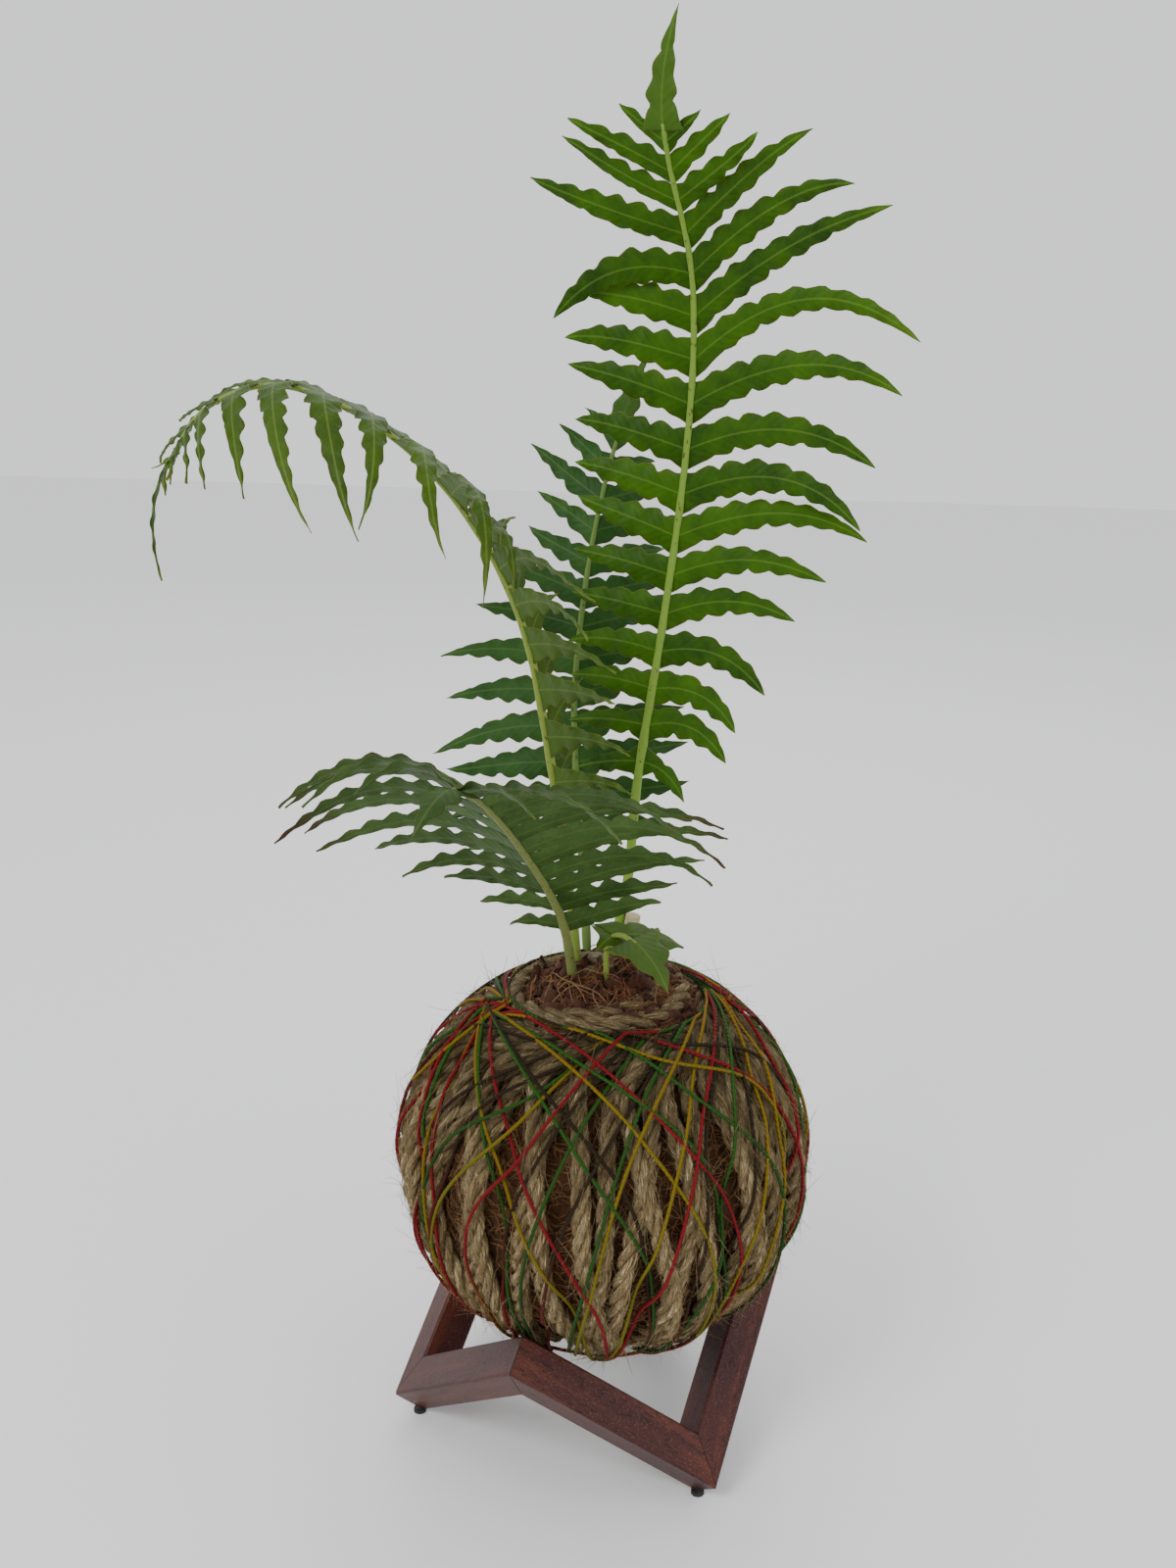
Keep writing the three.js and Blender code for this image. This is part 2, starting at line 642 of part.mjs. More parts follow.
const lowFrond = {
  seed: 4,
  rib: [
    [-8.5, -4, 168], [-13.4, -20, 202], [-18.3, -34, 219], [-24.4, -52, 236],
    [-31, -72, 253], [-38, -96, 269], [-43, -114, 277],
  ],
  ribRadius: [1.8, 0.8],
  feet: [0.21, 0.42, 0.62, 0.81, 1],
  pairs: 12,
  widest: 14,
  left: {
    reach: [[-1, -0.1, 0.35], [-0.9, -0.2, 0.9]],
    length: [19, 27, 37, 46, 56, 66, 72, 74, 70, 64, 54, 34],
    angle: [85, 84, 82, 78, 74, 70, 68, 66, 64, 62, 60, 58],
    pull: [
      [0, 0, -0.3], [0, 0, -0.4], [-0.1, 0, -0.6], [-0.1, -0.1, -0.8], [-0.1, -0.1, -1],
      [-0.1, -0.1, -1.3], [-0.2, 0, -1.6], [-0.3, 0, -1.8], [-0.3, 0, -1.8], [-0.3, 0, -1.8],
      [-0.3, 0, -1.8], [-0.3, 0, -1.8],
    ],
  },
  right: {
    reach: [[1, 0.1, 0.2], [1, -0.1, 0.3]],
    length: [34, 50, 66, 70, 66, 52, 30],
    angle: [80, 72, 66, 62, 60],
    pull: [[0, 0, -0.3], [0.1, 0, -0.9], [0.2, -0.1, -1.1]],
  },
  tip: { length: 28, width: 9, pull: [-0.2, -0.3, -1.2] },
};

const youngFrond = {
  seed: 5,
  rib: [[2, -9, 170], [2, -14, 194], [6, -20, 199], [11, -25, 198]],
  ribRadius: [1.1, 0.8],
  feet: [0.5, 1],
  pairs: 1,
  widest: 12,
  left: {
    reach: [[0.75, 0.65, 0.1], [0.8, 0.6, 0.1]],
    length: [29, 29],
    angle: [66, 66],
    pull: [[0.1, 0, -0.8], [0.1, 0, -0.8]],
  },
  right: {
    reach: [[-0.7, -0.7, 0], [-0.7, -0.7, 0]],
    length: [9, 9],
    angle: [80, 80],
    pull: [[0, 0, -0.4], [0, 0, -0.4]],
  },
  tip: { length: 21, width: 10, pull: [-0.1, -0.2, -1] },
};

// The crown: a short woody stem in the soil, with the stump of an old stalk. With a clearance it is the
// socket that the crown stands in.
function crownSolid(clearance) {
  const outline = [
    [0, soilTop - crownDepth], [0.5 * crownRadius, soilTop - crownDepth], [0.9 * crownRadius, soilTop],
    [crownRadius, crownTop - 10], [0.6 * crownRadius, crownTop - 2], [0, crownTop],
  ];
  const grown = outline.map(([x, z], i) => {
    const outward = i < 2 ? -clearance : clearance;
    return new THREE.Vector2(x ? x + clearance : 0, z + outward);
  });
  const body = turned(grown, crownFacets).translate(crownOffset.x, crownOffset.y, 0);
  const [top, foot] = [stumpTopRadius + clearance, stumpFootRadius + clearance];
  const stump = upright(new THREE.CylinderGeometry(top, foot, stumpLength, stumpFacets));
  stump.rotateY(stumpLean);
  stump.translate(stumpOffset.x, stumpOffset.y, crownTop - 2);
  return joined([body, stump]);
}

// A stalk's hole follows the foot of its rib and is a little wider than the rib. It starts 1 mm below it.
const holeLength = 21;
const holeSteps = 5;
const holeSides = 8;

function stalkHole(frond) {
  const curve = ribCurve(frond);
  const radius = frond.ribRadius[0] + 2 * fitGap;
  const reach = holeLength / curve.getLength();
  const points = [0, 1 / 3, 2 / 3, 1].map((share) => curve.getPointAt(reach * share));
  points.unshift(points[0].clone().addScaledVector(curve.getTangentAt(0), -1));
  const hole = rod(new THREE.CatmullRomCurve3(points), holeSteps, holeSides, radius);
  return solidOf(hole).translate([-ballCentre.x, -ballCentre.y, -ballCentre.z]);
}

const frondNodes = [
  ["frond_tall", tallFrond, brightLeaf],
  ["frond_arching", archingFrond, oliveLeaf],
  ["frond_back", backFrond, shadedLeaf],
  ["frond_low", lowFrond, shadedLeaf],
  ["frond_young", youngFrond, brightLeaf],
];

function makeBall() {
  const ball = new THREE.Group();
  ball.position.copy(ballCentre);
  const holes = wasm.Manifold.union(frondNodes.map(([, frond]) => stalkHole(frond)));
  const socket = crownSolid(fitGap);
  const husk = solidOf(huskGeometry()).subtract(socket).subtract(holes);
  ball.add(named("soil_ball", geometryOf(soilSolid().subtract(socket)), soil));
  ball.add(named("coir_wrap", coirWrapGeometry(), coir));
  ball.add(named("husk_chips", geometryOf(husk), coir));
  ball.add(named("jute_rope", geometryOf(ropeSolid()), jute));
  ball.add(named("wound_thread", geometryOf(threadSolid()), cotton));
  ball.add(named("crown", geometryOf(crownSolid(0).subtract(holes)), rhizome));
  return ball;
}

const plant = new THREE.Group();
plant.add(makeStand());
plant.add(makeBall());
for (const [name, frond, look] of frondNodes) {
  plant.add(named(name, frondGeometry(frond), look));
}

// The origin is on the floor, under the middle of the whole plant's outline.
const outline = new THREE.Box3().setFromObject(plant, true);
const middle = outline.getCenter(new THREE.Vector3());
plant.position.set(-middle.x, -middle.y, -outline.min.z);

export default plant;
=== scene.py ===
# %% [markdown]
# # A fern in a wrapped coir ball
# The real object is a kokedama: a ball of soil in brown coconut fibre, bound with jute rope and a fine
# many-coloured thread, with a fern growing from its open top and a folded wooden stand under it.
# The solid model gives every place and size. This script loads it as a fixed frame and dresses it.

# %% Load the frame
import math

import bpy
import numpy as np
from mathutils import Matrix, Vector


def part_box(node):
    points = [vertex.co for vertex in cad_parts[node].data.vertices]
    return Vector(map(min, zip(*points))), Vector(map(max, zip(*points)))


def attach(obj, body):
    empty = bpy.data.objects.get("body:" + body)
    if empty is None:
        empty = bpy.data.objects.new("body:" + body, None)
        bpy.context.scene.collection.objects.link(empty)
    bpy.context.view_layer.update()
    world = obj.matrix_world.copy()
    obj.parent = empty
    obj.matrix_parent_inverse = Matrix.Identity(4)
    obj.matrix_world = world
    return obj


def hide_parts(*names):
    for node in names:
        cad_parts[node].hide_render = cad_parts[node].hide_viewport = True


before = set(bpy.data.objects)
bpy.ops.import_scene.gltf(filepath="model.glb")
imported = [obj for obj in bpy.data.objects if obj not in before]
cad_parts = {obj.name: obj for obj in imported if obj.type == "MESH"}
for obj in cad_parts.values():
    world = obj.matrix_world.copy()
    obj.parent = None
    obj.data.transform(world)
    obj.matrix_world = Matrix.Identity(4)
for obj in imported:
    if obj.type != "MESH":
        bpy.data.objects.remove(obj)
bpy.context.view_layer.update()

# %% [markdown]
# ## One frame for everything
# Sizes are written in millimetres, as a maker would, and turned into metres at the last moment.
# The stand is regular, so the middle of its three feet is a good fixed point to measure from.

# %% Find the middle of the stand
MM = 0.001
foot_names = ["foot_pad_left", "foot_pad_right", "foot_pad_back"]
foot_middles = [(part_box(name)[0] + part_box(name)[1]) / 2 for name in foot_names]
stand_middle = np.mean([[p.x, p.y, 0] for p in foot_middles], axis=0) / MM
print("middle of the stand in mm:", stand_middle.round(2))

# %% [markdown]
# ## Tubes, the one shape behind most pieces
# Rope, thread, hair, ribs and leaves are all a ring carried along a path. If every ring has the same
# number of points, a whole group of such tubes is one array of shape (tubes, rings, around, 3), and
# its faces follow from counting alone. That is much faster than adding points one by one.

# %% Turn arrays of rings into meshes
def unit(vectors):
    """Each vector divided by its own length."""
    return vectors / np.maximum(np.linalg.norm(vectors, axis=-1, keepdims=True), 1e-12)


def square_to(vectors, axis):
    """The direction of each vector's part at right angles to an axis of length one."""
    return unit(vectors - np.sum(vectors * axis, -1, keepdims=True) * axis)


def ring_faces(tubes, rings, around):
    """Four-cornered faces from each ring to the next, and one flat face at each end of each tube."""
    index = np.arange(tubes * rings * around).reshape(tubes, rings, around)
    here, there = index[:, :-1], index[:, 1:]
    sides = np.stack([here, np.roll(here, -1, 2), np.roll(there, -1, 2), there], axis=-1)
    return sides.reshape(-1, 4), index[:, 0, ::-1], index[:, -1]


def make_piece(name, groups, material, replaces=()):
    """Builds one object from groups of tubes. A group is a pair: its points in millimetres, and for each
    point the three numbers that its material reads from the attribute named place."""
    corners, places, faces, start = [], [], [], 0
    for points, place in groups:
        sides, first, last = ring_faces(*points.shape[:3])
        for block in (sides, first, last):
            faces.extend((block + start).tolist())
        corners.append(points.reshape(-1, 3))
        places.append(np.broadcast_to(place, points.shape).reshape(-1, 3))
        start += corners[-1].shape[0]
    mesh = bpy.data.meshes.new(name)
    mesh.from_pydata((np.concatenate(corners) * MM).tolist(), [], faces)
    mesh.polygons.foreach_set("use_smooth", np.ones(len(mesh.polygons), dtype=bool))
    layer = mesh.attributes.new("place", "FLOAT_VECTOR", "POINT")
    layer.data.foreach_set("vector", np.concatenate(places).astype(np.float32).ravel())
    mesh.materials.append(material)
    piece = bpy.data.objects.new(name, mesh)
    bpy.context.collection.objects.link(piece)
    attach(piece, "root")
    if replaces:
        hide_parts(*replaces)
    print(name, "has", sum(len(face) - 2 for face in faces), "triangles")


# %% [markdown]
# A ring needs two directions square to its path. They are taken from a guide vector, such as the way
# out of the ball, so the rings don't turn about the path and a material can count on them.

# %% Carry rings along paths
def path_frames(paths, guide):
    """Two directions square to the path at each of its points. The first leans to the guide."""
    tangent = unit(np.gradient(paths, axis=1))
    first = square_to(guide, tangent)
    return first, np.cross(tangent, first)


def sweep(paths, guide, radius, sides):
    """Carries a round ring along each path, at right angles to it. The first corner of the ring leans
    to the guide, a vector at each point."""
    first, second = path_frames(paths, guide)
    turn = 2 * np.pi * np.arange(sides) / sides
    ring = first[:, :, None] * np.cos(turn)[:, None] + second[:, :, None] * np.sin(turn)[:, None]
    return paths[:, :, None] + ring * np.broadcast_to(radius, paths.shape[:2])[:, :, None, None]


def path_lengths(paths):
    """The distance run along each path up to each of its points."""
    steps = np.linalg.norm(np.diff(paths, axis=1), axis=-1)
    return np.concatenate([np.zeros((len(paths), 1)), np.cumsum(steps, axis=1)], axis=1)


def tube_place(paths, sides, number):
    """For each point of a tube: distance along it in mm, share of the way round, and its own number."""
    along = np.broadcast_to(path_lengths(paths)[:, :, None], paths.shape[:2] + (sides,))
    around = np.broadcast_to(np.arange(sides) / sides, along.shape)
    return np.stack([along, around, np.broadcast_to(number[:, None, None], along.shape)], axis=-1)


# %% [markdown]
# ## Camera, floor and light
# The camera stands where the photograph was taken from: a little above the ball and tilted down, with
# a slight roll. Its axes are written straight into its matrix, which avoids any doubt about the order
# of turns.

# %% Place the camera
camera_place = stand_middle + [-6.6, -545.0, 407.8]
camera_pitch, camera_roll = 0.2886, 0.0295
film_size, focal_pixels, photo_pixels = 36, 1700, 1600
view_axis = Vector((0, math.cos(camera_pitch), -math.sin(camera_pitch)))
level_up = Vector((0, math.sin(camera_pitch), math.cos(camera_pitch)))
image_right = Vector((math.cos(camera_roll), 0, 0)) + level_up * math.sin(camera_roll)
image_up = level_up * math.cos(camera_roll) - Vector((math.sin(camera_roll), 0, 0))
camera_data = bpy.data.cameras.new("camera")
camera_data.sensor_width = film_size
camera_data.lens = film_size * focal_pixels / photo_pixels
camera_data.clip_start = 0.01
camera = bpy.data.objects.new("camera", camera_data)
axes = Matrix((image_right, image_up, -view_axis)).transposed().to_4x4()
camera.matrix_world = Matrix.Translation(Vector(camera_place * MM)) @ axes
bpy.context.collection.objects.link(camera)
bpy.context.scene.camera = camera
print("camera lens", camera_data.lens, "mm")

# %% [markdown]
# A plain pale floor and three large soft lights show the object without drawing the eye. The strongest
# stands at the upper left, a weak one at the right, and one behind parts the plant from the background.

# %% Lay the floor and hang the lights
def add_light(name, place, target, size, power):
    """A square area light at a place, turned so that it faces its target."""
    data = bpy.data.lights.new(name, "AREA")
    data.size = size
    data.energy = power
    light = bpy.data.objects.new(name, data)
    light.location = place
    light.rotation_euler = (Vector(target) - Vector(place)).to_track_quat("-Z", "Y").to_euler()
    bpy.context.collection.objects.link(light)


floor_mesh = bpy.data.meshes.new("floor")
floor_corners = [(-3, -3, 0), (3, -3, 0), (3, 3, 0), (-3, 3, 0)]
floor_mesh.from_pydata(floor_corners, [], [(0, 1, 2, 3)])
floor = bpy.data.objects.new("floor", floor_mesh)
bpy.context.collection.objects.link(floor)
floor_look = bpy.data.materials.new("pale_floor")
floor_look.use_nodes = True
floor_shader = floor_look.node_tree.nodes["Principled BSDF"]
floor_shader.inputs["Base Color"].default_value = (0.86, 0.86, 0.85, 1)
floor_shader.inputs["Roughness"].default_value = 0.55
floor_mesh.materials.append(floor_look)

plant_middle = (0.03, 0.03, 0.24)
add_light("key", (-0.75, -0.95, 1.25), plant_middle, size=0.6, power=13)
add_light("fill", (1.1, -0.8, 0.6), plant_middle, size=0.9, power=2)
add_light("back", (0.2, 1.1, 1.1), plant_middle, size=0.8, power=4)
world = bpy.data.worlds.new("studio")
world.use_nodes = True
world.node_tree.nodes["Background"].inputs["Color"].default_value = (0.93, 0.94, 0.96, 1)
world.node_tree.nodes["Background"].inputs["Strength"].default_value = 1.15
bpy.context.scene.world = world
print("lights:", len(bpy.data.lights))

# %% [markdown]
# ## Building materials
# A material is a small graph: places go into patterns, patterns go through colour ramps, and the
# ramps feed one shader. A few short helpers keep each material readable. Values that are the same
# all over a surface are set on the shader itself.

# %% Helpers for material graphs
class Look:
    """A material under construction, with short ways to add and join its nodes."""

    def __init__(self, name, roughness, coat=0.0, sheen=0.0, subsurface=0.0, specular=0.5):
        self.material = bpy.data.materials.new(name)
        self.material.use_nodes = True
        self.tree = self.material.node_tree
        self.shader = self.tree.nodes["Principled BSDF"]
        settings = {
            "Roughness": roughness, "Specular IOR Level": specular, "Sheen Weight": sheen,
            "Coat Weight": coat, "Coat Roughness": 0.25,
            "Subsurface Weight": subsurface, "Subsurface Scale": 0.002,
        }
        for name, value in settings.items():
            self.shader.inputs[name].default_value = value

    def add(self, kind, settings=(), **inputs):
        """A node of a kind, with its settings, and with each named input joined to a socket or set."""
        node = self.tree.nodes.new(kind)
        for name, value in dict(settings).items():
            setattr(node, name, value)
        for name, value in inputs.items():
            self.join(value, node.inputs[name])
        return node

    def join(self, value, target):
        """Links a socket to an input, or sets the input if the value is a plain one."""
        if isinstance(value, bpy.types.NodeSocket):
            self.tree.links.new(value, target)
        else:
            target.default_value = value

    def object_place(self, rotation=(0, 0, 0), scale=(1, 1, 1)):
        """Object coordinates in metres, turned and then stretched."""
        place = self.add("ShaderNodeTexCoord").outputs["Object"]
        turned = self.add("ShaderNodeMapping", Vector=place, Rotation=rotation).outputs["Vector"]
        return self.add("ShaderNodeMapping", Vector=turned, Scale=scale).outputs["Vector"]

    def height(self):
        """How high a point lies above the floor, in metres."""
        return self.add("ShaderNodeSeparateXYZ", Vector=self.object_place()).outputs["Z"]

    def own_place(self):
        """The three numbers of the piece's place attribute, as three sockets."""
        read = self.add("ShaderNodeAttribute", {"attribute_name": "place"}).outputs["Vector"]
        return self.add("ShaderNodeSeparateXYZ", Vector=read).outputs

    def noise(self, place, scale, detail=3.0, roughness=0.6):
        """Soft random values between 0 and 1."""
        node = self.add("ShaderNodeTexNoise", Vector=place, Scale=scale, Detail=detail, Roughness=roughness)
        return node.outputs["Fac"]

    def math(self, operation, first, second=0.0, third=0.0):
        """One step of arithmetic on up to three values."""
        node = self.add("ShaderNodeMath", {"operation": operation})
        for value, target in zip((first, second, third), node.inputs):
            self.join(value, target)
        return node.outputs[0]

    def times(self, value, factor):
        """One value times another."""
        return self.math("MULTIPLY", value, factor)

    def plus(self, first, second):
        """The sum of two values."""
        return self.math("ADD", first, second)

    def fade(self, value, low, high):
        """0 below the low value, 1 above the high one, and a smooth rise between them."""
        ends = {"From Min": low, "From Max": high}
        node = self.add("ShaderNodeMapRange", {"interpolation_type": "SMOOTHSTEP"}, Value=value, **ends)
        return node.outputs["Result"]

    def ramp(self, value, stops):
        """Colours that follow a value. Each stop is a position and a red, green and blue."""
        node = self.add("ShaderNodeValToRGB", Fac=value)
        points = node.color_ramp.elements
        while len(points) < len(stops):
            points.new(0.5)
        for point, (position, colour) in zip(points, stops):
            point.position = position
            point.color = (*colour, 1)
        return node.outputs["Color"]

    def mix(self, share, first, second, blend="MIX"):
        """Two colours mixed by a share. The colours of this node are inputs 6 and 7 and output 2."""
        node = self.add("ShaderNodeMix", {"data_type": "RGBA", "blend_type": blend})
        self.join(share, node.inputs[0])
        for value, target in ((first, node.inputs[6]), (second, node.inputs[7])):
            self.join(value if isinstance(value, bpy.types.NodeSocket) else (*value, 1), target)
        return node.outputs[2]

    def combine(self, x, y, z=0.0):
        """A place made of three values."""
        return self.add("ShaderNodeCombineXYZ", X=x, Y=y, Z=z).outputs["Vector"]

    def finish(self, colour, height=None, distance=0.0005, strength=0.6, roughness=None):
        """Feeds the shader: its colour, its bump and, where it varies, its roughness."""
        self.join(colour, self.shader.inputs["Base Color"])
        if height is not None:
            bump = self.add("ShaderNodeBump", Height=height, Distance=distance, Strength=strength)
            self.join(bump.outputs["Normal"], self.shader.inputs["Normal"])
        if roughness is not None:
            self.join(roughness, self.shader.inputs["Roughness"])
        return self.material


# %% [markdown]
# ## The wooden stand
# The bars are red-brown lacquered wood with dark open pores that run along the grain. The solid bars
# already have the right shape with their small chamfers, so they stay and only get a finish. The
# grain has to follow each bar, and the bars point three different ways: the longest direction of a
# bar's own corners is measured, and the pattern is turned to it.

# %% Give the bars their wood
def bar_direction(name):
    """The direction in which a bar's corners spread most."""
    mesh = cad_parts[name].data
    corners = np.zeros(len(mesh.vertices) * 3)
    mesh.vertices.foreach_get("co", corners)
    corners = corners.reshape(-1, 3)
    return Vector(np.linalg.svd(corners - corners.mean(0), full_matrices=False)[2][0])


def lacquered_wood(name, direction):
    """Red-brown wood: long streaks of colour, dark open pores, and a lacquer with a fine speckle in its
    bump and gloss, plus tiny pale specks in its colour that are painted highlight on the lacquer.
    """
    look = Look(name, 0.42, coat=0.03, specular=0.22)
    turn = direction.rotation_difference(Vector((1, 0, 0))).to_euler()
    streaks = look.noise(look.object_place(turn, (14, 120, 120)), 1.0, 5.0, 0.65)
    pores = look.noise(look.object_place(turn, (260, 1400, 1400)), 1.0, 2.0, 0.5)
    speckle = look.noise(look.object_place(), 1500.0, 2.0)
    cloud = look.noise(look.object_place(), 22.0, 2.0)
    open_pore = look.fade(pores, 0.6, 0.67)
    stops = [(0.3, (0.022, 0.005, 0.004)), (0.5, (0.05, 0.011, 0.007)), (0.72, (0.14, 0.034, 0.014))]
    tinted = look.mix(look.times(cloud, 0.4), look.ramp(streaks, stops), (0.045, 0.014, 0.017))
    # Painted highlight: small pale specks in the colour stand for glints of light on the lacquer.
    painted_glint = look.times(look.fade(speckle, 0.52, 0.7), 0.3)
    with_painted_glints = look.mix(painted_glint, tinted, (0.24, 0.1, 0.075))
    colour = look.mix(look.times(open_pore, 0.6), with_painted_glints, (0.006, 0.002, 0.002))
    height = look.math("MULTIPLY_ADD", open_pore, -0.75, speckle)
    gloss = look.math("MULTIPLY_ADD", speckle, 0.3, 0.28)
    return look.finish(colour, height, distance=0.0003, strength=0.55, roughness=gloss)


def give(node_name, material):
    """Puts one material on a solid that stays as it is."""
    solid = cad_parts[node_name]
    solid.data.materials.clear()
    solid.data.materials.append(material)


wood_names = [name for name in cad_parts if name.startswith("stand_bar_")]
for name in wood_names:
    give(name, lacquered_wood(f"wood_{name}", bar_direction(name)))
print("bars finished:", len(wood_names))

# %% [markdown]
# The feet are small pads of black rubber. The soil is hidden by the coir, but it gets a finish as well:
# dark, with paler grains. Both are simple forms, so they stay the solids that they are.

# %% Give the feet and the hidden soil their finish
def dull_rubber():
    """Black rubber with a fine moulded grain."""
    look = Look("dull_rubber", 0.75)
    grain = look.noise(look.object_place(), 900.0)
    colour = look.ramp(grain, [(0.3, (0.008, 0.008, 0.008)), (0.7, (0.025, 0.024, 0.023))])
    return look.finish(colour, grain, distance=0.0001, strength=0.5)


def packed_soil():
    """Dark soil with pale grains and small lumps."""
    look = Look("packed_soil", 0.95)
    lumps = look.noise(look.object_place(), 140.0, 6.0, 0.7)
    stops = [(0.3, (0.012, 0.008, 0.005)), (0.55, (0.04, 0.024, 0.014)), (0.8, (0.11, 0.075, 0.045))]
    return look.finish(look.ramp(lumps, stops), lumps, distance=0.002, strength=0.8)


rubber_look = dull_rubber()
for name in foot_names:
    give(name, rubber_look)
give("soil_ball", packed_soil())
print("feet finished:", len(foot_names))

# %% [markdown]
# ## Places on the ball
# The ball is a slightly squashed sphere. A place on it is an angle down from its top, an angle round
# it, and a depth under the thread that is its outermost layer. The rope and the thread both follow
# great circles, squashed with the ball, as anything wound tightly round a ball does.

# %% Functions for the ball
ball_radius, ball_half_height = 75.5, 72.0
ball_centre = stand_middle + [3, -1, 108.2]
mouth_radius = 35.0
rope_radius = 4.0
thread_radius = 0.7
thread_slack, rope_slack = 0.7, 0.9
rope_depth = 2 * thread_radius + thread_slack + rope_radius
coir_depth = rope_depth + rope_radius + rope_slack
mouth_angle = math.asin(mouth_radius / (ball_radius - rope_depth))
under_angle = math.radians(151)
rng = np.random.default_rng(7)


def sphere_places(from_top, around):
    """The three coordinates of places on a ball with a radius of one."""
    return [np.sin(from_top) * np.cos(around), np.sin(from_top) * np.sin(around), np.cos(from_top)]


def on_ball(from_top, around, depth):
    """Squashed sphere: the radius and height both shrink by the depth."""
    reach = (ball_radius - depth) * np.sin(from_top)
    height = (ball_half_height - depth) * np.cos(from_top)
    return ball_centre + np.stack([reach * np.cos(around), reach * np.sin(around), height], axis=-1)


def wound_paths(around, lean, start, end, share):
    """Great circles that leave the angle start with a lean and end at the angle end, as a pair of
    angles for each share of the way: down from the top, and round the ball."""
    around, lean = around[:, None], lean[:, None]
    first = sphere_places(start + 0 * around, around)
    down = [np.cos(start) * np.cos(around), np.cos(start) * np.sin(around), -np.sin(start) + 0 * around]
    heading = [
        down[0] * np.cos(lean) - np.sin(around) * np.sin(lean),
        down[1] * np.cos(lean) + np.cos(around) * np.sin(lean),
        down[2] * np.cos(lean),
    ]
    swing = np.hypot(first[2], heading[2])
    arc = np.arccos(np.cos(end) / swing) - np.arctan2(-heading[2], first[2])
    angle = arc * share[None, :]
    x, y, z = [f * np.cos(angle) + h * np.sin(angle) for f, h in zip(first, heading)]
    return np.arccos(np.clip(z, -1, 1)), np.arctan2(y, x)


print("mouth opens at", round(math.degrees(mouth_angle), 1), "degrees from the top")

# %% [markdown]
# ## The coir layer
# Coconut fibre is a felt of stiff brown hairs. One lumpy shell gives it body, and a few thousand short
# fibres laid on it at random give it its look in the gaps between the ropes. The shell is a profile
# turned round the ball: down its outside from the lip, and back up its inside.

# %% Make the coir shell
shell_rings, shell_around, shell_thickness = 50, 96, 8


def brown_fibre(name, dark, light):
    """Coconut fibre: colours differ from fibre to fibre and along each one."""
    look = Look(name, 0.85, sheen=0.05, specular=0.2)
    along, around, number = look.own_place()
    streaks = look.noise(look.combine(look.times(along, 0.3), number), 3.0, 4.0, 0.7)
    felt = look.noise(look.object_place(), 420.0, 5.0, 0.75)
    mixed = look.plus(look.times(streaks, 0.6), look.times(felt, 0.4))
    colour = look.ramp(mixed, [(0.3, dark), (0.72, light)])
    return look.finish(colour, felt, distance=0.0012, strength=0.9)


def coir_shell():
    """A thick bowl: angle from the top runs from the lip to the bottom outside, then back inside."""
    lip = math.asin((mouth_radius - rope_radius - 1.2) / (ball_radius - coir_depth))
    outside = np.linspace(lip, math.pi - 0.01, shell_rings)
    from_top = np.concatenate([outside, outside[::-1]])[:, None]
    around = np.linspace(0, 2 * np.pi, shell_around, endpoint=False)[None, :]
    lumps = np.sin(9 * around + 3 * np.sin(7 * from_top)) * np.sin(11 * from_top + 2 * np.sin(5 * around))
    is_outside = np.arange(2 * shell_rings)[:, None] < shell_rings
    depth = np.where(is_outside, coir_depth - 0.6 + 0.8 * lumps, coir_depth + shell_thickness)
    points = on_ball(from_top + 0 * around, around + 0 * from_top, depth)
    return points[None, :, ::-1]


# The shell is much darker than the loose fibres on it: partly dark coir, partly painted shade in the gaps
# between the ropes.
coir_look = brown_fibre("coir", (0.006, 0.003, 0.001), (0.13, 0.052, 0.017))
shell_points = coir_shell()
make_piece("coir_felt", [(shell_points, np.zeros(shell_points.shape))], coir_look, ["coir_wrap"])

# %% [markdown]
# A fibre is a thin tube with three sides, enough for something a quarter of a millimetre thick. All
# fibres are worked out together: an array has a row for each fibre and a column for each of its points.

# %% Lay fibres on the shell
def hair_tubes(curves, guide, radius, sides=3):
    """Thin tubes along curves. Each gets a random number, which its colour follows."""
    number = rng.uniform(0, 50, len(curves))
    return sweep(curves, guide, radius, sides), tube_place(curves, sides, number)


def laid_fibres(count, depth_low, depth_high, length, radius):
    """Short hairs that lie on the ball: each follows a small random circle near its own place."""
    from_top = np.arccos(rng.uniform(-0.97, 0.87, count))[:, None]
    around = rng.uniform(0, 2 * np.pi, count)[:, None]
    share = np.linspace(-0.5, 0.5, 5)[None, :]
    heading = rng.uniform(0, 2 * np.pi, count)[:, None] + rng.normal(0, 1.2, count)[:, None] * share
    run = rng.uniform(*length, count)[:, None] * share / ball_radius
    down = from_top + run * np.cos(heading)
    turn = around + run * np.sin(heading) / np.sin(from_top)
    lift = rng.uniform(depth_low, depth_high, count)[:, None] + 5 * share**2
    paths = on_ball(down, turn, lift)
    return hair_tubes(paths, paths - ball_centre, radius * (1 - 0.7 * np.abs(2 * share) ** 3))


coir_hair_look = brown_fibre("coir_hair", (0.04, 0.017, 0.006), (0.4, 0.19, 0.065))
coir_hair_group = laid_fibres(
    count=6400, depth_low=coir_depth - 3.2, depth_high=coir_depth - 0.6, length=(8, 22), radius=0.24,
)
make_piece("coir_hairs", [coir_hair_group], coir_hair_look)

# %% [markdown]
# ## The jute rope
# Strands of jute rope run down the ball along leaning great circles. Those that lean left and those that
# lean right lie at slightly different depths, as they pass over and under each other. Each strand dips
# over the rim at its upper end and tucks in under the ball. There are twice as many strands as in the
# solid model, and thinner ones, in the same layer. A ring of rope gathers them at the rim and another
# under the ball, and two smaller loops lie in the mouth.

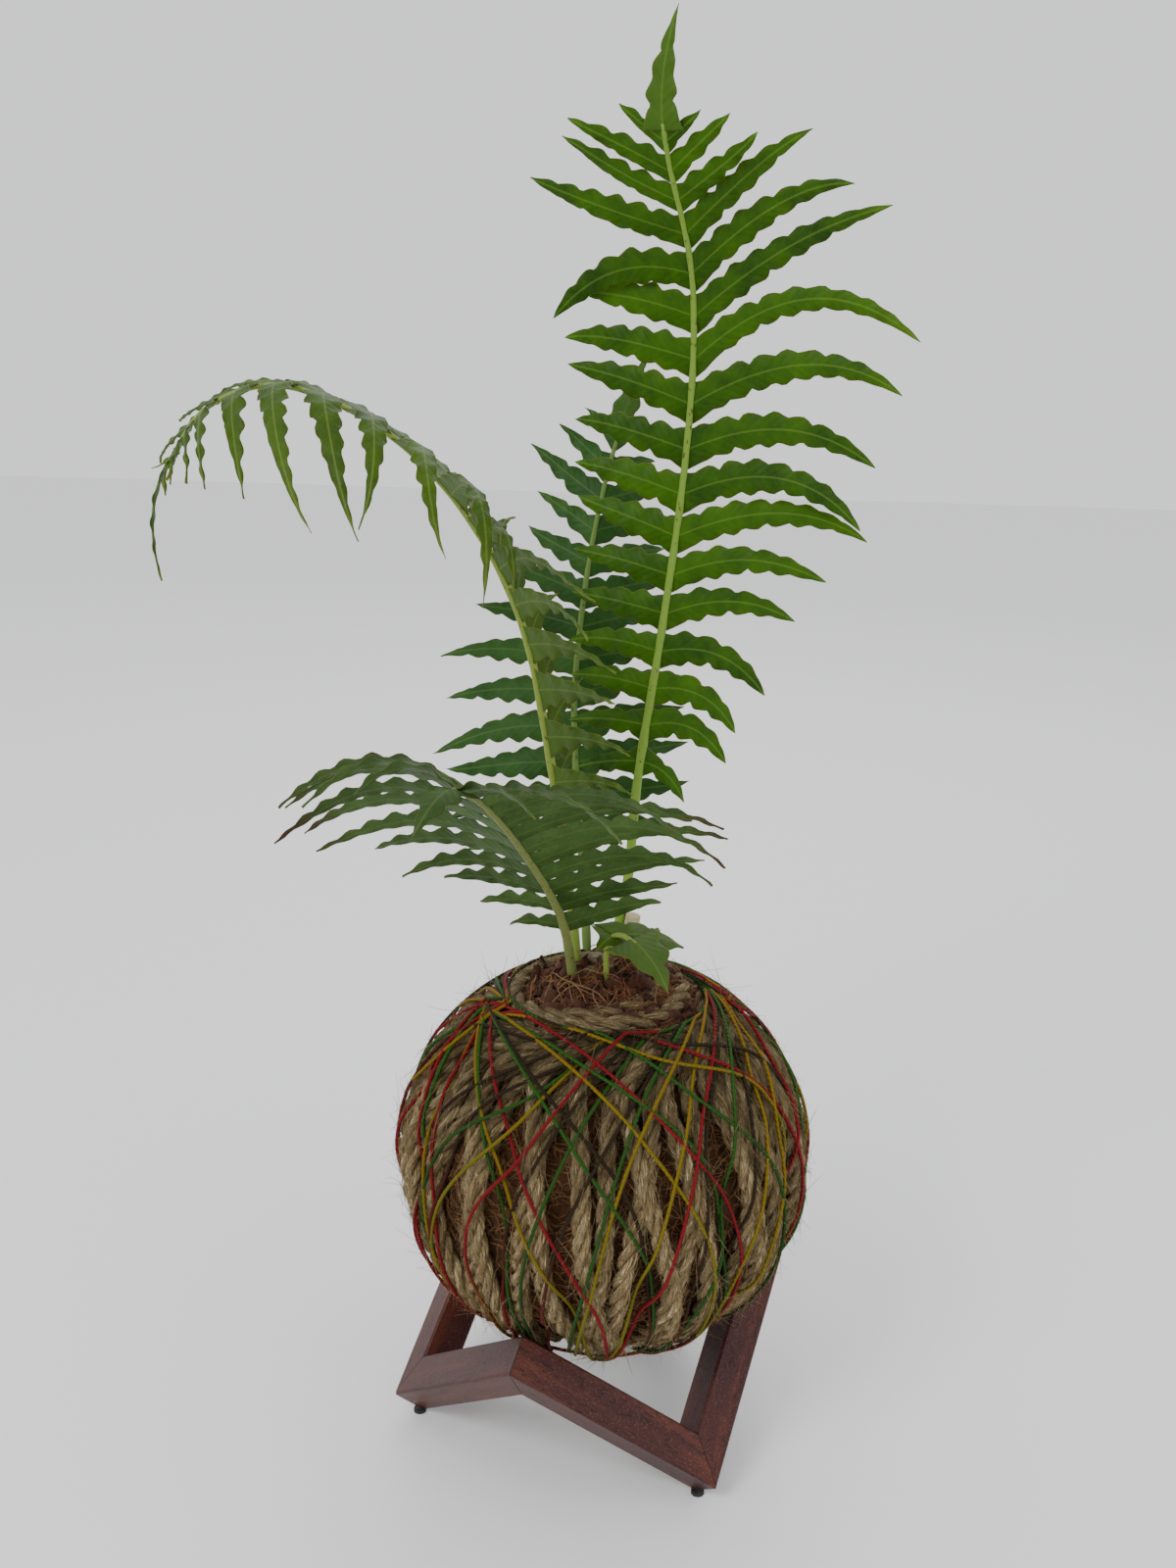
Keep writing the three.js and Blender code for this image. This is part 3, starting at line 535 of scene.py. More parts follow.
# %% Lay the strands
rope_pairs = 22
twist_length = 25.0
yarn_radius = 1.65
yarn_offset = 1.75
strand_radius = yarn_radius + yarn_offset
yarn_sides = 7
rope_steps, ring_steps = 80, 150
rope_lean = math.radians(16)
rope_turn = math.radians(9)
left_layer, right_layer = 0.9, -1.4
hook_share, hook_depth = 0.055, 7
tuck_share, tuck_depth = 0.08, 4
swirl_share, swirl = 0.16, 0.55
loop_step, loop_shift = 4.5, 4


def rope_paths():
    """The middle of each strand: a leaning great circle that swirls sideways near the rim. Its depth
    grows with the square of the nearness to its hooked upper end and to its tucked lower one."""
    way = np.tile([-1.0, 1.0], rope_pairs)
    number = np.repeat(np.arange(rope_pairs), 2)
    around = rope_turn + 2 * np.pi * (number - 0.25 * way) / rope_pairs + rng.normal(0, 0.022, len(way))
    lean = way * rope_lean + rng.normal(0.05, 0.075, len(way))
    share = np.linspace(0, 1, rope_steps)
    from_top, round_angle = wound_paths(around, lean, mouth_angle - 0.02, under_angle, share)
    near_rim = np.clip(1 - share / swirl_share, 0, 1)[None, :]
    hook = np.clip(1 - share / hook_share, 0, 1)[None, :]
    tuck = np.clip(1 - (1 - share) / tuck_share, 0, 1)[None, :]
    layer = np.where(way > 0, right_layer, left_layer) + rng.normal(0, 0.25, len(way))
    depth = rope_depth + layer[:, None] + hook_depth * hook**2 + tuck_depth * tuck**2
    wander = 0.02 * np.sin(2 * np.pi * (1.5 * share[None, :] + rng.uniform(0, 1, (len(way), 1))))
    round_angle = round_angle + swirl * near_rim**2 + wander / np.sin(from_top)
    return on_ball(from_top - 0.05 * hook, round_angle, depth)


def ring_paths(from_top, depth):
    """Rope laid round the ball in rings: the angle from the top and the depth of each."""
    around = np.linspace(0, 2 * np.pi, ring_steps)[None, :]
    return on_ball(from_top[:, None] + 0.02 * np.sin(2.3 * around), around, depth[:, None] + 0 * around)


def mouth_loops():
    """Two smaller loops in the mouth. They share the rim on the left and step inwards on the right."""
    inward = np.array([1.0, 2.0])[:, None]
    around = np.linspace(0, 2 * np.pi, ring_steps)[None, :]
    radius = mouth_radius - 1 - loop_step * inward
    x, y = radius * np.cos(around) - loop_shift * inward, radius * np.sin(around)
    depth = rope_depth - 2
    from_top = np.arcsin(np.hypot(x, y) / (ball_radius - depth))
    return on_ball(from_top, np.arctan2(y, x), depth + 0.4 * np.sin(5 * around))


strand_paths = rope_paths()
collar_angles = np.array([mouth_angle - 0.03, under_angle])
collar_paths = ring_paths(collar_angles, np.array([rope_depth + 1.2, rope_depth + 2.5]))
loop_paths = np.concatenate([collar_paths, mouth_loops()])
print("strands:", len(strand_paths), "and rings:", len(loop_paths))

# %% [markdown]
# The rope has three yarns twisted round each other. Each yarn is a tube whose own centre winds round
# the strand's path, which shows the twist from every side, where a painted twist would look flat. Its
# colour runs slantwise too: pale fibres brightened into painted highlight, with near-black stripes
# between them that are partly dark fibre and partly painted shade in the hollows.

# %% Twist three yarns round each strand
def yarns(paths):
    """Three yarns round each path: the yarn's centre turns once in each twist length."""
    first, second = path_frames(paths, paths - ball_centre)
    run = 2 * np.pi * path_lengths(paths) / twist_length
    groups = []
    for yarn in range(3):
        angle = (run + 2 * np.pi * yarn / 3)[:, :, None]
        spoke = first * np.cos(angle) + second * np.sin(angle)
        centre = paths + yarn_offset * spoke
        number = np.arange(len(paths)) + 0.37 * yarn
        rings = sweep(centre, spoke, yarn_radius, yarn_sides)
        groups.append((rings, tube_place(centre, yarn_sides, number)))
    return groups


def jute_yarn(name, lightness):
    """Jute: pale fibres that run slantwise round each yarn, brightened into painted highlight, and dark
    stripes between them that are partly dark fibre and partly painted shade in the hollows; grey-green on
    top.
    """
    look = Look(name, 0.9, sheen=0.05, specular=0.2)
    along, around, number = look.own_place()
    slant = look.plus(look.times(along, 0.05), around)
    run = look.times(along, 0.16)
    fibres = look.noise(look.combine(look.times(slant, 34), run, number), 1.0, 6.0, 0.85)
    patches = look.noise(look.combine(look.times(along, 0.04), number), 2.0, 3.0)
    # The near-black stop is partly dark fibre and partly painted shade in the hollows; the palest stop is
    # partly painted highlight.
    stops = [
        (0.38, (0.014, 0.008, 0.003)), (0.46, (0.14, 0.088, 0.03)),
        (0.54, (0.43, 0.31, 0.14)), (0.63, (1.0, 0.88, 0.6)),
    ]
    pale = look.ramp(fibres, stops)
    dirty = look.mix(look.fade(patches, 0.4, 0.8), pale, (0.55, 0.46, 0.33), "MULTIPLY")
    height = look.height()
    top = look.times(look.fade(height, 0.115, 0.16), look.fade(patches, 0.15, 0.5))
    greyed = look.mix(look.times(top, 0.75), dirty, (0.42, 0.42, 0.37), "MULTIPLY")
    # Lightness scales the whole colour; above one it lifts the pale fibres into painted highlight.
    colour = look.mix(1.0, greyed, (lightness, lightness, lightness), "MULTIPLY")
    return look.finish(colour, fibres, distance=0.0009, strength=1.0)


jute_look = jute_yarn("jute_yarn", 1.2)
rope_groups = yarns(strand_paths) + yarns(loop_paths)
make_piece("jute_rope_turns", rope_groups, jute_look, ["jute_rope"])

# %% [markdown]
# ## Jute fuzz and loose hairs
# Jute is never smooth. Most of its fibres have worked a little loose and lie along the strand, and a few
# stand off it and curl. Both are thin three-sided tubes. The lying ones start at a random place on a
# strand's surface and follow the strand, with a small angle to it. The loose ones leave it outwards.

# %% Grow the fuzz and the hairs
def random_places(paths, count):
    """Random places on the strands: the point, the strand's direction there and the way outwards."""
    tube = rng.integers(0, len(paths), count)
    step = rng.integers(2, paths.shape[1] - 2, count)
    root = paths[tube, step]
    return root, unit(paths[tube, step + 1] - paths[tube, step - 1]), unit(root - ball_centre)


def lying_fuzz(paths, count, length, radius):
    """Fibres along the strands: foot on the strand's outer half, then a shallow arch beside it."""
    root, tangent, outward = random_places(paths, count)
    sideways = np.cross(tangent, outward)
    roll = rng.uniform(-1.35, 1.35, count)[:, None]
    spoke = outward * np.cos(roll) + sideways * np.sin(roll)
    stray = rng.normal(0, 0.3, count)[:, None] * np.cross(tangent, spoke)
    heading = unit(tangent * rng.choice([-1, 1], count)[:, None] + stray)
    share = np.linspace(0, 1, 5)[None, :, None]
    size = rng.uniform(*length, count)[:, None, None]
    lifted = rng.exponential(0.45, (count, 1, 1)) * share**2
    rise = (strand_radius - 0.05 + 0.4 * np.sin(np.pi * share) + lifted) * spoke[:, None]
    curl = rng.normal(0, 0.22, (count, 1, 3)) * share**2 * size
    curve = root[:, None] + rise + heading[:, None] * share * size + curl
    return hair_tubes(curve, spoke[:, None] + 0 * curve, radius * (1 - 0.7 * share[:, :, 0]))


def loose_hairs(paths, count, length, radius):
    """Hairs that stand off: outwards, sideways and a little down, curling by t squared."""
    root, tangent, outward = random_places(paths, count)
    heading = unit(outward + rng.normal(0, 0.75, (count, 3)))
    heading = heading + outward * np.maximum(0, 0.25 - np.sum(heading * outward, -1))[:, None]
    bend = rng.normal(0, 0.7, (count, 3)) + [0, 0, -0.25]
    share = np.linspace(0, 1, 5)[None, :, None]
    size = rng.uniform(*length, count)[:, None, None]
    curve = root[:, None] + size * (heading[:, None] * share + bend[:, None] * share**2)
    return hair_tubes(curve, outward[:, None] + 0 * curve, radius * (1 - 0.75 * share[:, :, 0]))


# The fuzz takes a higher lightness, so more of its pale colour is painted highlight.
fuzz_look = jute_yarn("jute_fuzz", 1.7)
fuzz_group = lying_fuzz(strand_paths, count=6800, length=(4, 14), radius=0.13)
make_piece("jute_fuzz", [fuzz_group], fuzz_look)
hair_group = loose_hairs(strand_paths, count=2800, length=(2.5, 5.5), radius=0.08)
make_piece("jute_hairs", [hair_group], fuzz_look)

# %% [markdown]
# ## The wound thread
# The thread and the ribs of the fern are both smooth curves through a few known points. Weighing each
# gap by the root of its length keeps such a curve from looping where the gaps are uneven.

# %% A smooth curve through given points
def smooth_curve(points, samples=60):
    """A centripetal curve through the points: tangents weigh each gap by the root of its length. The
    result has even steps along its length."""
    points = np.array(points, float)
    ends = np.vstack([2 * points[0] - points[1], points, 2 * points[-1] - points[-2]])
    gap = np.sqrt(np.linalg.norm(np.diff(ends, axis=0), axis=1))[:, None]
    step = np.diff(ends, axis=0)
    double = ends[2:] - ends[:-2]
    slope = step[:-1] / gap[:-1] - double / (gap[:-1] + gap[1:]) + step[1:] / gap[1:]
    t = np.linspace(0, 1, samples, endpoint=False)[None, :, None]
    start, finish = points[:-1, None], points[1:, None]
    leave, arrive = (slope[:-1] * gap[1:-1])[:, None], (slope[1:] * gap[1:-1])[:, None]
    cubic = (
        start * (2 * t**3 - 3 * t**2 + 1) + leave * (t**3 - 2 * t**2 + t)
        + finish * (3 * t**2 - 2 * t**3) + arrive * (t**3 - t**2)
    )
    dense = np.vstack([cubic.reshape(-1, points.shape[1]), points[-1]])
    run = np.concatenate([[0], np.cumsum(np.linalg.norm(np.diff(dense, axis=0), axis=1))])
    even = np.linspace(0, run[-1], 600)
    return np.stack([np.interp(even, run, column) for column in dense.T], axis=-1), run[-1]


# %% [markdown]
# One long thread, dyed in turn red, gold, green and dark brown, is hooked over the rim at two places and
# fans out from them. A line is drawn through a few places read off the photograph, each an angle round
# the ball and an angle from its top, and the hidden back repeats the front, turned by half a turn. A
# hook has a third number: how far to each side of it its lines are spread.

# %% Draw the lines of thread
thread_steps = 110
rim_angle = math.radians(28.5)
thread_end = 148
golden_angle = 2.4
right_hook, left_hook = (20, 30, 2), (-169, 35, 9)
fans = [
    (right_hook, [
        ((-118, 33), (-166, 43), "dark"), ((-110, 34), (-147, 64), "dark"),
        ((-114, 48), (-141, 71), "green"), ((-116, 55), (-139, 88), "gold"),
        ((-114, 65), (-126, 84), "red"), ((-115, 81), (-119, 99), "dark"),
        ((-101, 62), (-112, 102), "green"), ((-80, 51), (-97, 111), "green"),
        ((-84, 65), (-96, 118), "gold"), ((-59, 55), (-80, 121), "red"), ((-45, 43), (-60, 62), "dark"),
        ((-43, 50), (-62, 110), "green"), ((-17, 39), (-47, 92), "gold"), ((-15, 46), (-37, 90), "gold"),
        ((-6, 47), (-23, 90), "red"), ((4, 50), (-10, 92), "green"),
    ]),
    (left_hook, [
        ((-143, 80), (-140, 98), "red"), ((-131, 59), (-120, 83), "green"),
        ((-112, 84), (-98, 111), "gold"), ((-104, 85), (-91, 109), "red"), ((-65, 64), (-52, 84), "red"),
        ((-81, 57), (-62, 90), "gold"), ((-97, 64), (-78, 94), "green"), ((-62, 47), (-38, 75), "green"),
        ((-70, 37), (-30, 54), "gold"), ((-158, 70), (-150, 100), "green"),
    ]),
    (right_hook, [
        ((-96, 34), (-134, 60), "dark"), ((-72, 40), (-101, 84), "dark"), ((-52, 40), (-78, 92), "gold"),
        ((-30, 42), (-52, 100), "dark"), ((15, 50), (0, 76), "gold"), ((10, 60), (2, 96), "red"),
    ]),
    (left_hook, [
        ((-61, 34), (-24, 61), "red"), ((-66, 32), (-20, 48), "dark"), ((-120, 44), (-84, 74), "dark"),
        ((-104, 38), (-62, 66), "green"), ((-162, 62), (-155, 96), "red"),
        ((-150, 66), (-143, 96), "gold"),
    ]),
]
thread_lines = [(hook, *line) for hook, lines in fans for line in lines]


def line_angles():
    """Each line as angles from the top and round the ball. It is a smooth curve of unit vectors through
    the line's places, kept outside the mouth, and past its last place it runs on to the underside. The
    points are set again at even distances, as those along the rim would lie too far apart."""
    lines = []
    for number, (hook, middle, end, _) in enumerate(thread_lines):
        start = (hook[0] + hook[2] * math.sin(golden_angle * number), hook[1])
        under = (end[0] + 0.5 * (end[0] - middle[0]), thread_end)
        around, from_top = np.radians([start, middle, end, under]).T
        curve = unit(smooth_curve(np.transpose(sphere_places(from_top, around)))[0])
        from_top = np.maximum(np.arccos(curve[:, 2]), rim_angle)
        around = np.unwrap(np.arctan2(curve[:, 1], curve[:, 0]))
        path = on_ball(from_top, around, 0.0)
        run = path_lengths(path[None])[0]
        even = np.linspace(0, run[-1], thread_steps)
        lines.append([np.interp(even, run, from_top), np.interp(even, run, around)])
    from_top, around = np.array(lines).transpose(1, 0, 2)
    return np.concatenate([from_top, from_top]), np.concatenate([around, around + np.pi])


print("lines on each half:", len(thread_lines))

# %% [markdown]
# A taut thread lies on the ropes and bridges the hollows between them. For each of its points, the ray
# from the ball's middle is tested against every point of every strand: a strand of radius R whose middle
# is at a distance d from the ray carries the thread at the square root of R squared less d squared above
# the place where the ray passes it. The highest of these counts, and a short smoothing spans the hollows.

# %% Lay the thread on the ropes
def windows(values, reach):
    """For each point of each line, the values of all points within reach along the line."""
    padded = np.pad(values, ((0, 0), (reach, reach)), mode="edge")
    return np.lib.stride_tricks.sliding_window_view(padded, 2 * reach + 1, axis=1)


def draped(from_top, around):
    """Points of each line, as far out as the ropes under it carry it."""
    rays = unit(on_ball(from_top, around, 0.0) - ball_centre)
    strands = np.concatenate([strand_paths.reshape(-1, 3), loop_paths.reshape(-1, 3)]) - ball_centre
    reach = np.zeros(from_top.shape)
    for line, ray in enumerate(rays):
        passed = ray @ strands.T
        left = carry_radius**2 - (np.sum(strands**2, -1) - passed**2)
        reach[line] = np.where(left > 0, passed + np.sqrt(np.maximum(left, 0)), 0).max(-1)
    on_coir = np.linalg.norm(on_ball(from_top, around, coir_depth - fibre_layer) - ball_centre, axis=-1)
    highest = windows(np.maximum(reach, on_coir), hollow_reach).max(-1)
    smooth = windows(windows(highest, hollow_reach).mean(-1), smooth_reach).mean(-1)
    limit = np.linalg.norm(on_ball(from_top, around, 0.6 * thread_radius) - ball_centre, axis=-1)
    return ball_centre + rays * np.minimum(smooth, limit)[..., None]


carry_radius = strand_radius + thread_radius
fibre_layer = 2.4
hollow_reach, smooth_reach = 5, 3
thread_ring_angle = 147
line_paths = draped(*line_angles())
ring_around = np.linspace(0, 2 * np.pi, 200)[None, :]
under_ring = draped(np.radians(thread_ring_angle) + 0 * ring_around, ring_around)
print("lines of thread:", len(line_paths))

# %% [markdown]
# The dye follows the thread's length, so the distance along it is handed to the material, which turns
# it into a slow band of dyes. Each line starts at the part of the band that the photograph shows.

# %% Dye the thread
thread_bands = 900.0
tube_radius, tube_sides = 0.65, 5
dye_starts = {"red": 0.02, "gold": 0.27, "green": 0.52, "dark": 0.78}


def dyed_thread():
    """Cotton dyed in bands that repeat along its length, with a fine slanting twist."""
    look = Look("dyed_thread", 0.7, specular=0.15)
    along, around, number = look.own_place()
    place = look.math("FRACT", look.plus(look.math("DIVIDE", along, thread_bands), number))
    dyes = [
        (0.0, (0.17, 0.005, 0.009)), (0.2, (0.17, 0.006, 0.01)), (0.27, (0.21, 0.12, 0.003)),
        (0.45, (0.13, 0.12, 0.006)), (0.52, (0.02, 0.09, 0.006)), (0.72, (0.015, 0.05, 0.007)),
        (0.79, (0.017, 0.013, 0.005)), (0.93, (0.024, 0.012, 0.005)), (1.0, (0.17, 0.005, 0.009)),
    ]
    band = look.ramp(place, dyes)
    slope = look.plus(look.times(along, 3.2), look.times(around, 4 * math.pi))
    twist = look.math("SINE", slope)
    worn = look.noise(look.combine(look.times(along, 0.4), number), 2.0, 3.0)
    colour = look.mix(look.times(worn, 0.35), band, (0.5, 0.42, 0.3), "SOFT_LIGHT")
    return look.finish(colour, twist, distance=0.0003, strength=0.6)


def thread_tubes(paths, number):
    """Round tubes with the numbers that their dye follows."""
    rings = sweep(paths, paths - ball_centre, tube_radius, tube_sides)
    return rings, tube_place(paths, tube_sides, number)


thread_look = dyed_thread()
starts = np.array([dye_starts[dye] for *_, dye in thread_lines] * 2)
thread_groups = [thread_tubes(line_paths, starts), thread_tubes(under_ring, np.zeros(1))]
make_piece("thread_turns", thread_groups, thread_look, ["wound_thread"])

# %% [markdown]
# ## The mouth of the ball
# The open top shows coarse coir: broken brown pieces, fibres that loop up, and thin pale roots. A low
# lumpy dome carries them, and a skirt under its rim closes it.

# %% Make the low dome
husk_radius = mouth_radius - rope_radius - 1.6
husk_rim, husk_top, husk_skirt, husk_base = 59.0, 71.0, 52.0, 38.5
dome_rings, dome_around = 26, 80
nearly_up = np.array([0.1, 0.2, 1.0])


def dome_height(x, y):
    """Height over the ball's centre: a low dome from rim to top, with small lumps."""
    spread = np.clip(np.hypot(x, y) / husk_radius, 0, 1)
    broad = 1.3 * np.sin(0.42 * x + 0.3) * np.sin(0.38 * y + 1.1)
    lumps = broad + 0.5 * np.sin(1.3 * x) * np.sin(1.1 * y + 1)
    return husk_rim + (husk_top - husk_rim) * (1 - spread**2) ** 0.9 + lumps * (1 - 0.5 * spread)


def husk_dome():
    """The dome as rings from its middle to its rim, then a skirt down into the ball and a flat base."""
    spread = np.concatenate([np.linspace(0.02, 1, dome_rings), [0.98, 0.9, 0.02]])[:, None] * husk_radius
    around = np.linspace(0, 2 * np.pi, dome_around, endpoint=False)[None, :]
    x, y = spread * np.cos(around), spread * np.sin(around)
    height = dome_height(x, y)
    height[dome_rings:] = np.array([husk_skirt, husk_base, husk_base])[:, None]
    return (ball_centre + np.stack([x, y, height], axis=-1))[None, :, ::-1]


dome_points = husk_dome()
print("the dome rises to", round(float(dome_points[..., 2].max()), 1), "mm above the floor")

# %% [markdown]
# The pieces are stubby tubes with a swollen middle, thrown at random on the dome. The fibres and the
# roots are arches whose two ends are in it.

# %% Fill the mouth
def on_dome(low, high, count):
    """Random places on the dome between two shares of its area, as x, y and the angle round it."""
    spread = husk_radius * np.sqrt(rng.uniform(low, high, count))
    turn = rng.uniform(0, 2 * np.pi, count)
    return spread * np.cos(turn), spread * np.sin(turn), turn


def husk_pieces(count):
    """Broken pieces: five rings of six points, thick in the middle, with corners pulled about at random."""
    x, y, _ = on_dome(0.02, 1.0, count)
    root = ball_centre + np.stack([x, y, dome_height(x, y) + rng.uniform(-0.6, 1.2, count)], axis=-1)
    heading = unit(rng.normal(0, 1, (count, 3)) * [1, 1, 0.45])
    share = np.linspace(-0.5, 0.5, 5)[None, :]
    size = rng.uniform(3, 14, count)[:, None]
    curve = root[:, None] + heading[:, None] * (size * share)[:, :, None]
    radius = size * 0.2 * (1 - (2 * np.abs(share)) ** 2.5 * 0.7) * rng.uniform(0.6, 1.3, (count, 1))
    rings = sweep(curve, nearly_up + 0 * curve, radius, 6)
    rings = rings + rng.normal(0, 0.65, rings.shape)
    return rings, tube_place(curve, 6, rng.uniform(0, 50, count))


def looping_roots(count, length, rise, radius, sides):
    """Arches: a root leaves the dome, rises by a parabola and comes back down, bending sideways."""
    foot_x, foot_y, turn = on_dome(0, 0.95, count)
    heading = rng.uniform(0, 2 * np.pi, count)
    share = np.linspace(0, 1, 12)[None, :]
    run = rng.uniform(*length, count)[:, None] * (share - 0.5)
    sway = rng.normal(0, 4, count)[:, None] * np.sin(np.pi * share)
    sway = sway + 0.8 * np.sin(9 * share + turn[:, None])
    x = foot_x[:, None] + run * np.cos(heading)[:, None] - sway * np.sin(heading)[:, None]
    y = foot_y[:, None] + run * np.sin(heading)[:, None] + sway * np.cos(heading)[:, None]
    far = np.maximum(1, np.hypot(x, y) / (husk_radius + 1.5))
    x, y = x / far, y / far
    lift = rng.uniform(*rise, count)[:, None] * 4 * share * (1 - share)
    curve = ball_centre + np.stack([x, y, dome_height(x, y) + lift - 0.4], axis=-1)
    return hair_tubes(curve, nearly_up + 0 * curve, radius, sides)


husk_look = brown_fibre("husk", (0.003, 0.001, 0.001), (0.13, 0.042, 0.015))
husk_fibre_look = brown_fibre("husk_fibre", (0.05, 0.018, 0.008), (0.42, 0.17, 0.065))
root_look = brown_fibre("pale_root", (0.09, 0.038, 0.014), (0.36, 0.2, 0.085))
husk_groups = [(dome_points, np.zeros(dome_points.shape)), husk_pieces(260)]
make_piece("husk_mouth", husk_groups, husk_look, ["husk_chips"])
fibre_group = looping_roots(count=1100, length=(6, 22), rise=(0.5, 3.5), radius=0.13, sides=3)
make_piece("husk_fibres", [fibre_group], husk_fibre_look)
root_group = looping_roots(count=60, length=(12, 34), rise=(2, 7), radius=0.2, sides=5)
make_piece("thin_roots", [root_group], root_look)

# %% [markdown]
# ## The fern's fronds
# A frond is a rib with leaflets on both sides. Every leaflet is worked out at once: the rib's curve
# gives each one its foot, forward direction and side, and the leaflet's middle line starts at an angle
# to the rib and bends towards a pull, which is mostly gravity. Round that line goes a flat ring, wide
# and thin, whose width has small waves. This repeats the solid model's own rules with finer steps.

# %% Tables and repeatable variety
def at_share(table, share):
    """Reads rows of a table that has even steps, at shares of its whole length."""
    table = np.array(table, float)
    table = table[:, None] if table.ndim == 1 else table
    grid = np.linspace(0, 1, len(table))
    return np.stack([np.interp(share, grid, table[:, k]) for k in range(table.shape[1])], axis=-1)


def vary(number, kind):
    """A repeatable value between -1 and 1 for the leaflet with that number."""
    wave = np.sin(number * 12.9898 + kind * 78.233) * 43758.5453
    return 2 * (wave - np.floor(wave)) - 1


# %% [markdown]
# The blade's outline is full near its foot and drawn out into a fine tip. Its edge is cut into shallow
# rounded lobes and ruffled up and down with them. At its foot it isn't narrow: it joins the rib along
# its whole width, so the cross direction starts out along the rib and turns square to the leaflet
# within its first part.

# %% Rings of a blade
joint_length, edge_mark = 5.5, 20
blade_steps = 44
blade_around = 16
blade_thickness = 0.8
lobe_length, mean_lobe = 7.8, 0.62
layer_pull = 0.12
foot_share = 0.8
thinnest = 0.12


def blade_rings(middle, direction, across, half, foot_half, forward, turn, number, edge, length):
    """Rings round each leaflet's middle line. Across is v times the half width, with a row of rounded
    lobes on each edge. Along the face go the lens-shaped thickness, a thin raised midrib, and a ruffle
    that rises with the lobes. The face is at right angles to the middle line and to the width. The
    place holds the distance along the leaflet, the distance from its midrib with the mark added at the
    very edge, and the leaflet's own tone with 2 added on its underside."""
    t = np.linspace(0, 1, middle.shape[1])[None, :, None]
    theta = 2 * np.pi * np.arange(blade_around)[None, None, :] / blade_around
    v = np.cos(theta)
    size = length[:, None, None]
    upper = np.where(np.sin(theta) * turn >= 0, 1.0, -1.0)
    phase = np.pi * size * t / lobe_length + np.where(v > 0, 0.0, 0.9) + 7 * number[:, None, None]
    uneven = 1 + 0.45 * np.sin(1.37 * phase + 5 * number[:, None, None])
    lobes = (np.abs(np.sin(phase)) - mean_lobe) * uneven * np.minimum(1, 5 * t) * np.minimum(1, 4 * (1 - t))
    joint = np.clip(1 - t * size / joint_length, 0, 1) ** 2
    width = half[:, :, None] * (1 + edge["lobes"] * lobes) * (1 - joint) + foot_half[:, None, None] * joint
    cross = unit(across * (1 - joint) + forward[:, None] * joint)
    face = np.cross(direction, across) * turn
    thick = 0.5 * blade_thickness * np.abs(np.sin(theta)) ** 0.7 * (1 - 0.35 * t)
    midrib = (0.12 + 0.2 * (upper < 0)) * np.exp(-((v * width / 0.4) ** 2)) * (1 - 0.7 * t)
    lift = upper * (thick + midrib) - 0.06 * width * v**2
    ruffle = edge["ruffle"] * np.abs(v) ** 1.5 * np.cos(2 * phase)
    lift = lift + ruffle * np.minimum(1, 3 * t) * (1 - 0.6 * t)
    points = middle[:, :, None] + cross[:, :, None] * (v * width)[..., None]
    points = points + face[:, :, None] * lift[..., None]
    along = np.broadcast_to(t * size, width.shape)
    shade = np.broadcast_to(number[:, None, None] * 0.618 % 1 + 2 * (upper < 0), width.shape)
    from_midrib = v * width + np.where(np.abs(v) > 0.99, edge_mark * v, 0)
    return points, np.stack([along, from_midrib, shade], axis=-1)


# %% [markdown]
# Leaflets stand in two rows. Their lengths, angles and pulls change slowly from the foot of the frond
# to its tip, so short tables hold them, and a little repeatable variety keeps them from looking cast.

# %% Rows of leaflets
def run_out(start, direction, length):
    """Middle lines: equal steps along the directions, added up from the start."""
    steps = direction[:, 1:] * (length / (blade_steps - 1))
    return start + np.concatenate([0 * steps[:, :1], np.cumsum(steps, axis=1)], axis=1)


def leaflet_directions(frond, blades, u, number, forward, side, turn):
    """Where each leaflet heads at each step: first at its angle to the rib, then bent by its pull times
    t to the power 1.4, and at its tip by its curl times t to the fifth. Neighbours lie in two layers."""
    t = np.linspace(0, 1, blade_steps)[None, :, None]
    outward = np.cross(side, forward)
    angle = np.radians(at_share(blades["angle"], u) + 1.5 * vary(number, 2)[:, None])
    heading = forward * np.cos(angle) + side * np.sin(angle)
    layer = np.where(np.arange(len(number)) % 2 == 1, layer_pull, -layer_pull)[:, None]
    pull = at_share(blades["pull"], u) * (1 + 0.15 * vary(number, 3))[:, None] + outward * turn * layer
    curl = frond["curl"] * (vary(number, 4)[:, None] * forward + vary(number, 5)[:, None] * outward)
    return angle[:, 0], unit(heading[:, None] + pull[:, None] * t**1.4 + curl[:, None] * t**5)


def leaflet_widths(frond, gap_length, angle, length):
    """Half the width at each step. The body is (0.35 + t) to the power 0.4 times (1 - t) to the taper,
    and is one where it is fullest. The leaflet's own width follows the gap to the next foot."""
    t = np.linspace(0, 1, blade_steps)
    widest = np.minimum(frond["widest"], 0.9 * gap_length * np.sin(angle))
    width = frond["fullness"] * np.minimum(widest, 0.32 * length)
    body = (0.35 + t) ** 0.4 * (1 - t) ** frond["taper"]
    return np.maximum(thinnest, 0.5 * width[:, None] * body[None, :] / body.max())


